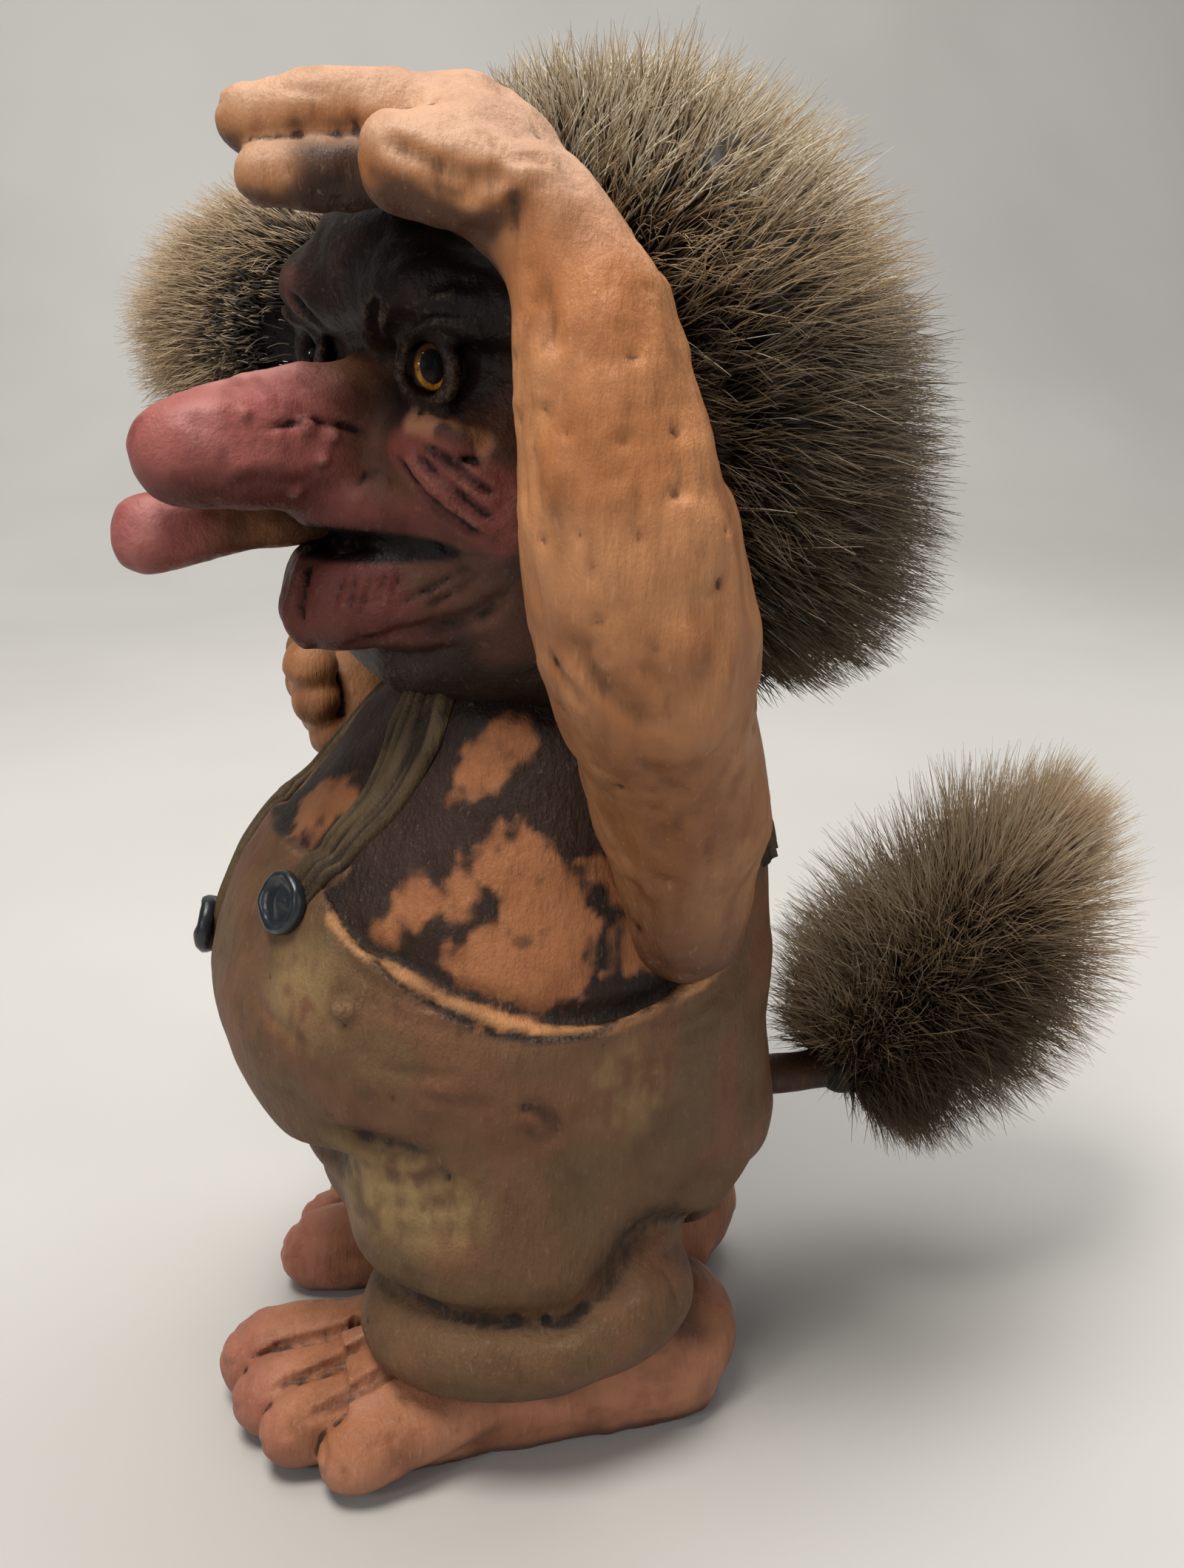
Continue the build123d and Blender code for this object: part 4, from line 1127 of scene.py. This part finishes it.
# Seams of the raised arm, by pixels of the photograph, with width and height.
ARM_SEAMS = (
    ([(517, 187), (563, 210), (623, 237), (692, 250)], 1.5, -1.8),
    ([(476, 150), (480, 175), (484, 205)], 0.9, -0.8),
    ([(367, 119), (410, 121), (450, 126)], 0.8, -0.9),
    ([(697, 217), (720, 214), (745, 221)], 0.8, -1.0),
    ([(640, 178), (672, 200), (704, 224)], 0.8, -0.9),
    ([(560, 230), (610, 262), (660, 275)], 1.4, -0.8),
    ([(690, 262), (694, 290), (690, 330)], 1.3, -1.3),
    ([(735, 380), (742, 420), (746, 475)], 1.3, -1.5),
    ([(716, 350), (722, 390), (726, 430)], 1.2, -0.9),
    ([(735, 545), (738, 560), (745, 572)], 1.0, -1.2),
    ([(690, 600), (692, 660), (700, 720)], 1.0, -0.9),
    ([(704, 590), (707, 650), (716, 712)], 0.9, -0.8),
    ([(722, 600), (726, 660), (732, 700)], 0.9, -0.7),
    ([(860, 640), (866, 700), (862, 740)], 0.9, -0.8),
    ([(905, 560), (922, 620), (930, 680)], 1.2, -0.8),
    ([(770, 860), (800, 910), (850, 960), (900, 985)], 2.2, -1.4),
    ([(740, 880), (770, 930), (790, 960)], 1.2, -1.0),
    ([(880, 900), (900, 950), (905, 1000)], 1.2, -0.9),
    ([(850, 1010), (900, 1060), (930, 1080)], 1.6, -1.2),
    ([(950, 1120), (958, 1180), (955, 1240)], 0.8, -0.9),
)
left_arm = Field(BODY, (18, -50, 100), (88, 56, 272), STEP)
left_arm.join(tube(LEFT_ARM, 5))
for finger in LEFT_FINGERS:
    left_arm.join(tube(finger, 4), 1.2)
left_arm.join(blob((46, -4, 255), (11, 12, 8.5)), 4)
left_arm.join(blob((40, -8, 255), (9, 10, 8)), 5)
left_arm.join(blob((66, 22, 176), (15, 16, 20)), 8).join(blob((60, 12, 226), (11, 11, 13)), 6)
left_arm.roughen(14, 1.4, 52)
left_arm.roughen(6, 0.5, 58)
for seam in ARM_SEAMS:
    left_arm.seam(*seam)
left_arm.roughen((2.4, 2.4, 11), 0.30, 53)
left_arm.dent(10, 0.8, 1.1, 54)
left_arm.roughen((4, 4, 9), 0.45, 59)
cast("troll_left_arm", left_arm, arm_paint, skin, "flesh_rubber", ["left_arm"])

right_arm = Field(BODY, (-82, -42, 100), (-24, 52, 162), STEP)
right_arm.join(tube(RIGHT_ARM, 5))
for finger in RIGHT_FINGERS:
    right_arm.join(tube(finger, 4), 1.0)
    for station in finger:
        right_arm.join(blob(station[:3], 1.12 * station[3]), 1.5)
right_arm.roughen(11, 0.9, 55)
right_arm.roughen((3, 3, 6), 0.35, 56)
right_arm.dent(8, 0.6, 1.0, 57)
cast("troll_right_arm", right_arm, arm_paint, skin, "flesh_rubber", ["right_arm"])


# Straps lie on the trunk; buttons hold them to the bib.
def strap(name, stations, widths, node, seed):
    line = trunk.settle(flowing(stations, 8))
    line = flowing(line[::3], 4)
    up = trunk.slope(line, 4.0)
    along = unit(np.gradient(line, axis=0))
    across = unit(np.cross(along, up))
    count = len(line)
    share = np.linspace(0, 1, count)
    half = np.interp(share, *zip(*widths))
    lanes, pleats = 19, 8
    place = np.linspace(-1, 1, lanes)
    knots = np.random.default_rng(seed).random((pleats + 1, lanes))
    spread = np.linspace(0, pleats, count)
    cell = np.minimum(spread.astype(int), pleats - 1)
    mix = (spread - cell)[:, None]
    pleat = knots[cell] * (1 - mix) + knots[cell + 1] * mix
    top = 2.1 * (1 - np.abs(place) ** 6) * np.ones((count, 1)) + 1.5 * (pleat - 0.7)
    top[:, (0, -1)] = -0.3
    rows = line[:, None, :] + (half[:, None] * place)[..., None] * across[:, None, :]
    rows = rows + top[..., None] * up[:, None, :]
    lower = rows[:, ::-1][:, 1:-1] - up[:, None, :] * (top[:, ::-1][:, 1:-1, None] + 1.0)
    rings = np.concatenate((rows, lower), 1)
    wide = rings.shape[1]
    points = rings.reshape(-1, 3)
    i, j = np.meshgrid(np.arange(count - 1), np.arange(wide), indexing="ij")
    k = (j + 1) % wide
    quads = np.stack((i * wide + j, (i + 1) * wide + j, (i + 1) * wide + k, i * wide + k), -1).reshape(-1, 4)
    ends = []
    for first in (0, (count - 1) * wide):
        for j in range(lanes - 1):
            under = (wide - j) % wide
            after = wide - j - 1
            face = (first + j, first + j + 1, first + max(after, lanes - 1), first + under)
            ends.append(face if first == 0 else face[::-1])
    quads = np.concatenate((quads, np.array([f for f in ends if len(set(f)) == 4])))
    deep = np.concatenate((pleat, np.zeros((count, wide - lanes))), 1).ravel()
    colour = blended(coat(KHAKI, points), linear(78, 60, 41), lattice_noise(points, 6, seed))
    # Painted shade in the low pleats of the strap.
    colour = blended(colour, linear(40, 29, 22), 0.9 * rise(-deep, -0.55, -0.2))
    layers = {"paint": colour, "recess_wash_and_shade": 0.3 * (1 - deep), "worn": np.zeros(len(points))}
    mount(make_mesh(name, BODY.out(points), quads, layers), cloth, "figure", "strap_rubber", node)


# The left strap by pixels of the photograph, then under the chin and down the back; half widths along each strap.
LEFT_STRAP_PIXELS = ((392, 1228), (425, 1182), (470, 1135), (515, 1085), (545, 1030), (564, 985), (578, 945))
UNDER_CHIN = ((14, -4, 161), (11, 10, 163), (17, 29, 158), (25, 44, 147))
left_line = (*trunk.trace(LEFT_STRAP_PIXELS), *UNDER_CHIN, *LEFT_STRAP_BACK)
LEFT_WIDTHS = ((0, 3.9), (0.2, 4.8), (0.4, 7.4), (0.55, 7), (1, 4.5))
RIGHT_WIDTHS = ((0, 4.2), (0.4, 4.6), (1, 4.5))
strap("troll_left_strap", left_line, LEFT_WIDTHS, "left_strap", 61)
strap("troll_right_strap", RIGHT_STRAP, RIGHT_WIDTHS, "right_strap", 62)


def turned(name, centre, aim, profile, uneven=0.0):
    """A turned piece: profile is (radius, height) along the aim."""
    sides = TURNED_SIDES
    aim = unit(np.array(aim, float))
    one = unit(np.cross(aim, (0, 0, 1.0)))
    two = np.cross(aim, one)
    angles = np.linspace(0, 2 * math.pi, sides, endpoint=False)
    spokes = [math.cos(a) * one + math.sin(a) * two for a in angles]
    points = np.array([np.array(centre) + r * spoke + h * aim for r, h in profile for spoke in spokes])
    points = points + uneven * (lattice_noise(points, 2.5, 63)[:, None] - 0.5) * aim
    faces = []
    for i in range(len(profile) - 1):
        for j in range(sides):
            k = (j + 1) % sides
            faces.append((i * sides + j, i * sides + k, (i + 1) * sides + k, (i + 1) * sides + j))
    return make_mesh(name, BODY.out(points), np.array(faces), {})


button_plastic = plain("button_plastic", linear(36, 40, 46), 0.3, 0.0, 300, 0.35)
BUTTON = (
    (0.05, -1.6), (5.6, -1.6), (6.2, -0.6), (6.3, 0.5), (5.9, 1.3), (5.2, 1.6), (4.7, 1.2), (4.2, 0.7),
    (3.0, 0.6), (2.0, 1.0), (1.2, 1.3), (0.05, 1.35),
)
BUTTONS = (
    ("left", (26.5, -40.5, 120), (0.5, -0.81, 0.3)),
    ("right", (-14, -55.5, 100), (-0.25, -0.96, 0.1)),
)
for name, centre, aim in BUTTONS:
    centre = np.array(centre) + np.array(aim) * 1.7
    button = turned(f"troll_{name}_button", centre, aim, BUTTON, 1.1)
    mount(button, button_plastic, "figure", "button_plastic", f"{name}_button")


# Glass eyes: clear domes over painted irises.
def clear_glass():
    g = Graph("eye_glass")
    clear = g.node("ShaderNodeBsdfTransparent")
    gloss = g.node("ShaderNodeBsdfGlossy", Roughness=0.03)
    both = g.node("ShaderNodeMixShader", Fac=0.015)
    g.tree.links.new(clear.outputs[0], both.inputs[1])
    g.tree.links.new(gloss.outputs[0], both.inputs[2])
    out = g.node("ShaderNodeOutputMaterial")
    g.tree.links.new(both.outputs[0], out.inputs[0])
    return g.material


glass = clear_glass()


def iris_finish():
    g = Graph("iris_paint")
    ring = g.layer("ring")
    fibres = g.noise(900, 3, 0.6)
    amber = g.mix(g.ramp(fibres, 0.35, 0.7), linear(206, 140, 34), linear(128, 70, 12))
    colour = g.mix(g.ramp(ring, 0.86, 0.99), amber, linear(40, 22, 8))
    # Painted shadow of the upper lid over the top of the iris.
    colour = g.mix(g.times(g.layer("lid"), 0.9), colour, linear(26, 13, 6))
    colour = g.mix(g.ramp(ring, 0.68, 0.76), linear(2, 2, 2), colour)
    return g.surface(Base_Color=colour, Roughness=0.5, Specular_IOR_Level=0.05)


iris_paint = iris_finish()
IRIS = (
    (0.02, -0.2), (1.2, -0.2), (2.0, -0.15), (2.4, -0.1), (2.55, -0.05), (2.7, 0.0), (3.2, 0.1),
    (3.9, 0.35), (4.2, 0.5), (4.2, -1.3),
)
IRIS_RADIUS, EYE_SPLAY, IRIS_DEPTH = 4.2, math.radians(16), 0.9
for side, name in SIDES:
    centre = FACE.out((side * 20.0, -35.0, EYE_LEVEL))
    aim = FACE.turn @ np.array((side * math.sin(EYE_SPLAY), -math.cos(EYE_SPLAY), 0))
    iris = turned(f"troll_{name}_iris", centre - BODY.origin - IRIS_DEPTH * aim, aim, IRIS)
    height = np.array([v.co.z for v in iris.data.vertices])
    # Painted shadow: the upper part of the iris is marked to be darkened.
    lid = rise((height - height.mean()) / np.ptp(height), -0.15, 0.25)
    add_layers(iris.data, {"ring": np.repeat([r / IRIS_RADIUS for r, _ in IRIS], TURNED_SIDES), "lid": lid})
    mount(iris, iris_paint, "figure", "iris_paint", f"{name}_iris")


# Fur: tapered strands from a skin out to the wig's or the tuft's outer shape.
def fur_finish(name, root, middle, tip, pale):
    g = Graph(name)
    along, tone = g.layer("along"), g.layer("tone")
    colour = g.mix(g.ramp(along, 0.08, 0.50), root, middle)
    colour = g.mix(g.ramp(along, 0.45, 0.85), colour, tip)
    colour = g.mix(g.ramp(tone, 0.80, 1.0), colour, pale)
    dull = g.maths("SUBTRACT", 1.0, g.ramp(tone, 0.0, 0.5))
    colour = g.mix(g.times(dull, 0.8), colour, root)
    return g.surface(Base_Color=colour, Roughness=0.5)


def strand_mesh(name, paths, thick, tone):
    """Strands along paths of shape (count, stations, 3), in millimetres of the frame."""
    count, stations = paths.shape[:2]
    along = unit(np.gradient(paths, axis=1))
    side = unit(np.cross(along, np.random.default_rng(71).normal(size=(count, 1, 3))))
    other = np.cross(along, side)
    share = np.linspace(0, 1, stations)
    width = thick[:, None] * (1.0 - 0.85 * share**1.6)
    corners = []
    for a in (0, 2 * math.pi / 3, 4 * math.pi / 3):
        corners.append(paths + width[..., None] * (math.cos(a) * side + math.sin(a) * other))
    points = np.stack(corners, 2).reshape(-1, 3)
    base = (np.arange(count) * stations * 3)[:, None, None]
    step = (np.arange(stations - 1) * 3)[None, :, None]
    quads = []
    for j in range(3):
        k = (j + 1) % 3
        quads.append(np.stack([base + step + i for i in (j, k, k + 3, j + 3)], -1).reshape(-1, 4))
    layers = {"along": np.tile(np.repeat(share, 3), count), "tone": np.repeat(tone, stations * 3)}
    return make_mesh(name, points, np.concatenate(quads), layers)


def comb(name, parts, paths, thick, tone, *place):
    """The strands, split among the given number of pieces."""
    for i in range(parts):
        mount(strand_mesh(f"{name}_{i + 1}", paths[i::parts], thick[i::parts], tone[i::parts]), *place)


def reach_out(roots, aims, envelope, blockers, longest):
    """How far each line from a root runs inside the outer shape and clear of the blockers."""
    length = np.zeros(len(roots))
    free = np.ones(len(roots), bool)
    for step in np.arange(2.0, longest, 1.0):
        spots = roots + aims * step
        held = envelope.sample(envelope.place.back(spots)) < 0
        for other in blockers:
            free &= other.sample(other.place.back(spots)) > 0.8
        length = np.where(held & free, step, length)
    return length


def wavering(p, scale, seed):
    """A direction that changes slowly from place to place."""
    return np.stack([2 * lattice_noise(p, scale, seed + i) - 1 for i in range(3)], 1)


def fur_paths(roots, aims, lengths, droop, clump_share, seed, stations=6):
    """Curved strands, gathered into locks towards their tips."""
    rng = np.random.default_rng(seed)
    count = len(roots)
    share = np.linspace(0, 1, stations)[None, :, None]
    bend = rng.normal(size=(count, 1, 3)) * 0.13
    swing = rng.normal(size=(count, 1, 3)) * 0.035
    fall = np.array((0, 0, -1.0)) * droop
    curve = aims[:, None, :] * share + (bend + fall) * share**2
    curve = curve + swing * np.sin(math.pi * 1.5 * share)
    paths = roots[:, None, :] + lengths[:, None, None] * curve
    guides = rng.choice(count, max(1, count // 16), replace=False)
    home = np.zeros(count, int)
    for start in range(0, count, 2000):
        block = roots[start : start + 2000]
        gap = ((block[:, None, :] - roots[None, guides, :]) ** 2).sum(2)
        home[start : start + 2000] = guides[gap.argmin(1)]
    pull = clump_share * share**1.2 * rng.random((count, 1, 1))
    scale = (lengths / lengths[home].clip(1))[:, None, None]
    target = paths[home][:, :1] + (paths[home] - paths[home][:, :1]) * scale
    return paths + (target - paths) * pull


def trimmed(paths, envelope, proud):
    """Shortens the strands whose tips stand too far out of the outer shape."""
    for _ in range(6):
        out = envelope.sample(envelope.place.back(paths[:, -1])) > proud
        paths = np.where(out[:, None, None], paths[:, :1] + 0.88 * (paths - paths[:, :1]), paths)
    return paths


def undercoat(name, field, *place):
    """The dense short fur that the long strands rise from; its dark colour also stands for the shade deep in the
    fur.
    """
    field.roughen((5, 5, 9), 1.6, 76)
    points, faces = field.surface()
    tone = 0.25 * lattice_noise(points, 4, 77)
    # Painted light: the undercoat is paler higher up.
    along = 0.3 * tone + 0.42 * rise(points[:, 2], 220, 258)
    mount(make_mesh(name, field.place.out(points), faces, {"along": along, "tone": tone}), *place)


wig_shape = Field(BODY, (-100, -76, 136), (82, 108, 292), SHAPE_STEP)
wig_shape.join(column(WIG)).join(column(FAR_LOCK))
scalp = Field(FACE, (-56, -50, 140), (56, 56, 268), SCALP_STEP)
scalp.join(column(grown(SKULL, 2.5)))
scalp.join(blob((0, 8, 252), (26, 26, 8)), 3)

rng = np.random.default_rng(72)
CROWN_STRANDS, LOCK_STRANDS, STRAY_STRANDS = ((26000, 6400, 600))
HAIRLINE_TURN = math.radians(9)
HAIRLINE = np.array((math.sin(HAIRLINE_TURN), -math.cos(HAIRLINE_TURN), 0))
HAIRLINE_REACH, NEAR_SIDE_REACH, NAPE_LEVEL = 6.0, 11, 160
SCALP_CENTRE = np.array((0.0, 8.0, 200.0))
FUR_CENTRE, LOCK_CENTRE = np.array((0.0, -4.0, 196.0)), np.array((-36.0, -8.0, 223.0))
WIG_LENGTHS, WIG_REACH = (4, 74), 90.0
found = []
while sum(len(f) for f in found) < CROWN_STRANDS + STRAY_STRANDS:
    aim = unit(rng.normal(size=(4000, 3)))
    walk = SCALP_CENTRE + aim * 60
    for _ in range(40):
        walk = walk - aim * np.clip(scalp.sample(walk), -3, 3)[:, None]
    near = rise(walk[:, 0], 0, 30)
    behind = walk @ HAIRLINE < HAIRLINE_REACH + NEAR_SIDE_REACH * near
    found.append(walk[behind & (walk[:, 2] > NAPE_LEVEL) & (np.abs(scalp.sample(walk)) < 0.5)])
crown = np.concatenate(found)[: CROWN_STRANDS + STRAY_STRANDS]
edge = rise(crown @ HAIRLINE, -14, 4) * (1 - 0.7 * rise(crown[:, 0], 0, 30))
aims = 0.35 * scalp.slope(crown, 2.0) + 0.75 * unit(crown - FUR_CENTRE)
aims = aims + 0.6 * edge[:, None] * HAIRLINE
aims = unit(aims + 0.26 * wavering(crown, 20, 75) + 0.14 * rng.normal(size=aims.shape))

# The far lock springs from the edge of the flap at the temple.
share = rng.random(LOCK_STRANDS)
FLAP_EDGE = ((-47, -12, 240), (-51, -22, 236), (-55.4, -32.5, 226), (-54.5, -31, 214))
edge_line = np.array(FLAP_EDGE)
seat = share * 3
low = np.minimum(seat.astype(int), 2)
lock = edge_line[low] + (edge_line[low + 1] - edge_line[low]) * (seat - low)[:, None]
lock = lock + rng.normal(size=lock.shape) * (2.5, 3.0, 3.0)
lock = lock - np.array((1, 0, 0)) * 9 * rng.random((LOCK_STRANDS, 1))
lock_aims = unit(lock - LOCK_CENTRE)
lock_aims = unit(lock_aims + 0.30 * wavering(lock, 14, 78) + 0.24 * rng.normal(size=lock.shape))

roots = FACE.out(np.concatenate((crown, lock)))
aims = np.concatenate((aims, lock_aims)) @ FACE.turn.T
lengths = reach_out(roots, aims, wig_shape, (left_arm, right_arm, trunk), WIG_REACH)
fullness = 0.70 + 0.32 * rng.random(len(roots)) ** 0.8
lengths = np.clip(lengths, *WIG_LENGTHS) * fullness
paths = trimmed(fur_paths(roots, aims, lengths, 0.12, 0.8, 73), wig_shape, 3.0)
tip = paths[:, -1] - AXIS
lit = rise(tip[:, 2] + 0.1 * tip[:, 1], 226, 270)
lit[CROWN_STRANDS + STRAY_STRANDS :] = 0.55
tone = np.clip(rng.random(len(roots)) * (0.24 + 0.60 * lit) + 0.52 * lit, 0, 1)
thick = 0.15 + 0.13 * rng.random(len(roots))
stray = slice(CROWN_STRANDS, CROWN_STRANDS + STRAY_STRANDS)
tone[stray] = 0.97
thick[stray] *= 0.8
WIG_TINTS = linear(28, 20, 15), linear(80, 60, 41), linear(188, 163, 129), linear(230, 218, 194)
wig_place = fur_finish("wig_fur", *WIG_TINTS), "figure", "wig_fur", "wig_fur"
comb("wig_strands", 5, paths, thick, tone, *wig_place)


def before_hairline(x, y, z):
    across = FACE.turn @ HAIRLINE
    offset = (FACE.origin - BODY.origin) @ across
    return -(x * across[0] + y * across[1] + 0 * z - offset) - 1.0


low_fur = Field(BODY, (-96, -72, 140), (80, 104, 290), UNDERCOAT_STEP)
UNDERCOAT_DEPTH = 18
low_fur.join(column(grown(WIG[1:-2], -UNDERCOAT_DEPTH)))
low_fur.cut([(np.array((-99.0, -80, 130)), np.array((90.0, 110, 300)), before_hairline)], 2)
low_fur.join(blob((-58, -17, 226), (8, 19, 16)))
low_fur.cut(tube([(x, y, z, r + 5) for x, y, z, r in LEFT_ARM]), 2)
undercoat("wig_undercoat", low_fur, *wig_place)

# Tail: stem, bound root and tuft.
stem = Field(BODY, (-16, 58, 44), (8, 136, 112), STEP)
stem.join(tube(TAIL_STEM, 5))
stem.roughen(5, 0.3, 81)


def stem_paint(p, facing):
    return blended(coat(linear(96, 64, 44), p), linear(48, 34, 25), lattice_noise(p, 5, 82))


cast("troll_tail_stem", stem, stem_paint, skin, "flesh_rubber", ["tail_stem"], "tail")

TUFT_BOX = (-52, 60, 8), (42, 172, 148)
tuft_shape = Field(BODY, *TUFT_BOX, SHAPE_STEP)
tuft_shape.join(tube(TUFT, 4))
TUFT_STRANDS = 19600
TUFT_LENGTHS, TUFT_REACH = (6, 60), 70.0
spine = flowing([s[:3] for s in TAIL_STEM[2:]], 12)
pick = rng.random(TUFT_STRANDS) ** 0.9
index = pick * (len(spine) - 1)
low = np.clip(index.astype(int), 0, len(spine) - 2)
base = spine[low] + (spine[low + 1] - spine[low]) * (index - low)[:, None]
heading = unit(np.gradient(spine, axis=0)[low])
around = unit(np.cross(heading, rng.normal(size=heading.shape)))
at_tip = pick**8
lean = -0.2 + 0.9 * pick + 5.0 * at_tip
aims = around + lean[:, None] * heading
aims = unit(aims + 0.30 * wavering(base + 8 * around, 10, 84) + 0.20 * rng.normal(size=heading.shape))
roots = BODY.out(base + around * (4.0 - 3.2 * at_tip)[:, None])
lengths = reach_out(roots, aims, tuft_shape, (trunk,), TUFT_REACH)
lengths = np.clip(lengths, *TUFT_LENGTHS) * (0.58 + 0.44 * rng.random(len(roots)) ** 0.9)
paths = trimmed(fur_paths(roots, aims, lengths, 0.06, 0.75, 74), tuft_shape, 3.0)
lit = rise(paths[:, -1, 2] - paths[:, 0, 2], -30, 40)
# Painted light and shade: strands that point across the body are darker, so the tuft is dark in its middle and
# pale round its outline.
outline_light = 1 - aims[:, 0] ** 2
tone = np.clip((rng.random(len(roots)) * (0.6 + 0.5 * lit) + 0.55 * lit) * outline_light**1.3, 0, 0.97)
thick = 0.14 + 0.12 * rng.random(len(roots))
TAIL_TINTS = linear(30, 21, 16), linear(80, 60, 44), linear(190, 162, 128), linear(214, 196, 168)
tail_place = fur_finish("tail_fur", *TAIL_TINTS), "tail", "tail_fur", "tail_tuft"
comb("tuft_strands", 3, paths, thick, tone, *tail_place)
low_tuft = Field(BODY, *TUFT_BOX, UNDERCOAT_STEP)
low_tuft.join(tube([(x, y, z, max(0.3 * r, 5)) for x, y, z, r in TUFT[:-2]], 4))
undercoat("tuft_undercoat", low_tuft, *tail_place)

# Pieces that keep their CAD shapes: hidden ones, the wig's backing, the tail's wrap and the eyes' domes.
leather = plain("black_leather", linear(22, 19, 18), 0.7, 0.0, 700, 0.5)
finishes = {
    "wig_backing": leather,
    "tail_wrap": leather,
    "tail_wire": plain("steel_wire", linear(150, 150, 152), 0.35, 1.0),
    "trunk_filling": plain("foam_fill", linear(52, 38, 30), 0.95),
    "tail_socket": plain("bush_plastic", linear(60, 48, 40), 0.5),
    "neck_peg": plain("peg_wood", linear(170, 128, 82), 0.7),
    "left_eye": glass,
    "right_eye": glass,
}
finishes["head_filling"] = finishes["trunk_filling"]
for name in ("left_eye_wire", "right_eye_wire"):
    finishes[name] = finishes["tail_wire"]
for name in ("left_ankle_peg", "right_ankle_peg", "left_shoulder_peg", "right_shoulder_peg"):
    finishes[name] = finishes["neck_peg"]
for name, finish in finishes.items():
    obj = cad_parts[name]
    obj.data.materials.clear()
    obj.data.materials.append(finish)


# Floor sweeping up into a backdrop, lamps and the camera.
def backdrop():
    front, back, sweep, top, half = 2500, -900, 600, 3000, 4000
    profile = [(front, 0), (back, 0)]
    for a in np.linspace(0, math.pi / 2, 13)[1:]:
        profile.append((back - sweep * math.sin(a), sweep - sweep * math.cos(a)))
    profile.append((back - sweep, top))
    points = [(x, y, z) for y in (-half, half) for x, z in profile]
    wide = len(profile)
    faces = [(i, i + 1, wide + i + 1, wide + i) for i in range(wide - 1)]
    obj = make_mesh("backdrop", np.array(points), np.array(faces), {})
    g = Graph("pale_floor")
    cloudy = g.mix(g.ramp(g.noise(3, 3, 0.5), 0.3, 0.7), linear(206, 203, 198), linear(196, 193, 188))
    obj.data.materials.append(g.surface(Base_Color=cloudy, Roughness=0.9))
    return obj


floor = backdrop()


def lamp(name, at, towards, size, watts, colour=(1, 1, 1)):
    data = bpy.data.lights.new(name, "AREA")
    data.shape, data.size, data.energy, data.color = "DISK", size, watts, colour
    obj = bpy.data.objects.new(name, data)
    obj.location = at
    obj.rotation_euler = (Vector(towards) - Vector(at)).to_track_quat("-Z", "Y").to_euler()
    bpy.context.scene.collection.objects.link(obj)
    return obj


lamps = [
    lamp("key", (0.22, -0.25, 1.0), (0, -0.02, 0.15), 0.40, 7.6, (1.0, 0.96, 0.90)),
    lamp("front", (0.75, -0.65, 0.45), (0, 0, 0.12), 0.7, 0.6, (1.0, 0.98, 0.95)),
    lamp("fill", (0.75, 0.55, 0.45), (0, 0, 0.12), 0.8, 1.3, (0.95, 0.97, 1.0)),
    lamp("rim", (-0.30, 0.45, 0.85), (0, 0, 0.15), 0.5, 2.0),
    lamp("sparkle", (0.40, -0.52, 0.36), (0.03, -0.05, 0.22), 0.10, 0.5),
    lamp("backdrop_wash", (-0.55, 0.0, 1.7), (-1.4, 0.0, 0.5), 1.4, 18),
]
world = bpy.data.worlds.new("studio")
world.use_nodes = True
world.node_tree.nodes["Background"].inputs[0].default_value = (0.92, 0.95, 1.0, 1)
world.node_tree.nodes["Background"].inputs[1].default_value = 0.13
bpy.context.scene.world = world
bpy.context.scene.view_settings.view_transform = "Standard"

camera_data = bpy.data.cameras.new("camera")
SENSOR = 36
camera_data.sensor_width = SENSOR
camera_data.lens = SENSOR * FOCAL / PHOTO_HEIGHT
camera_data.clip_start, camera_data.clip_end = 0.01, 50
camera = bpy.data.objects.new("camera", camera_data)
camera.location = EYE_POINT * MM
ahead = sight([(PHOTO_WIDTH / 2, PHOTO_HEIGHT / 2)])[0]
camera.rotation_euler = Vector(ahead).to_track_quat("-Z", "Y").to_euler()
bpy.context.scene.collection.objects.link(camera)
bpy.context.scene.camera = camera
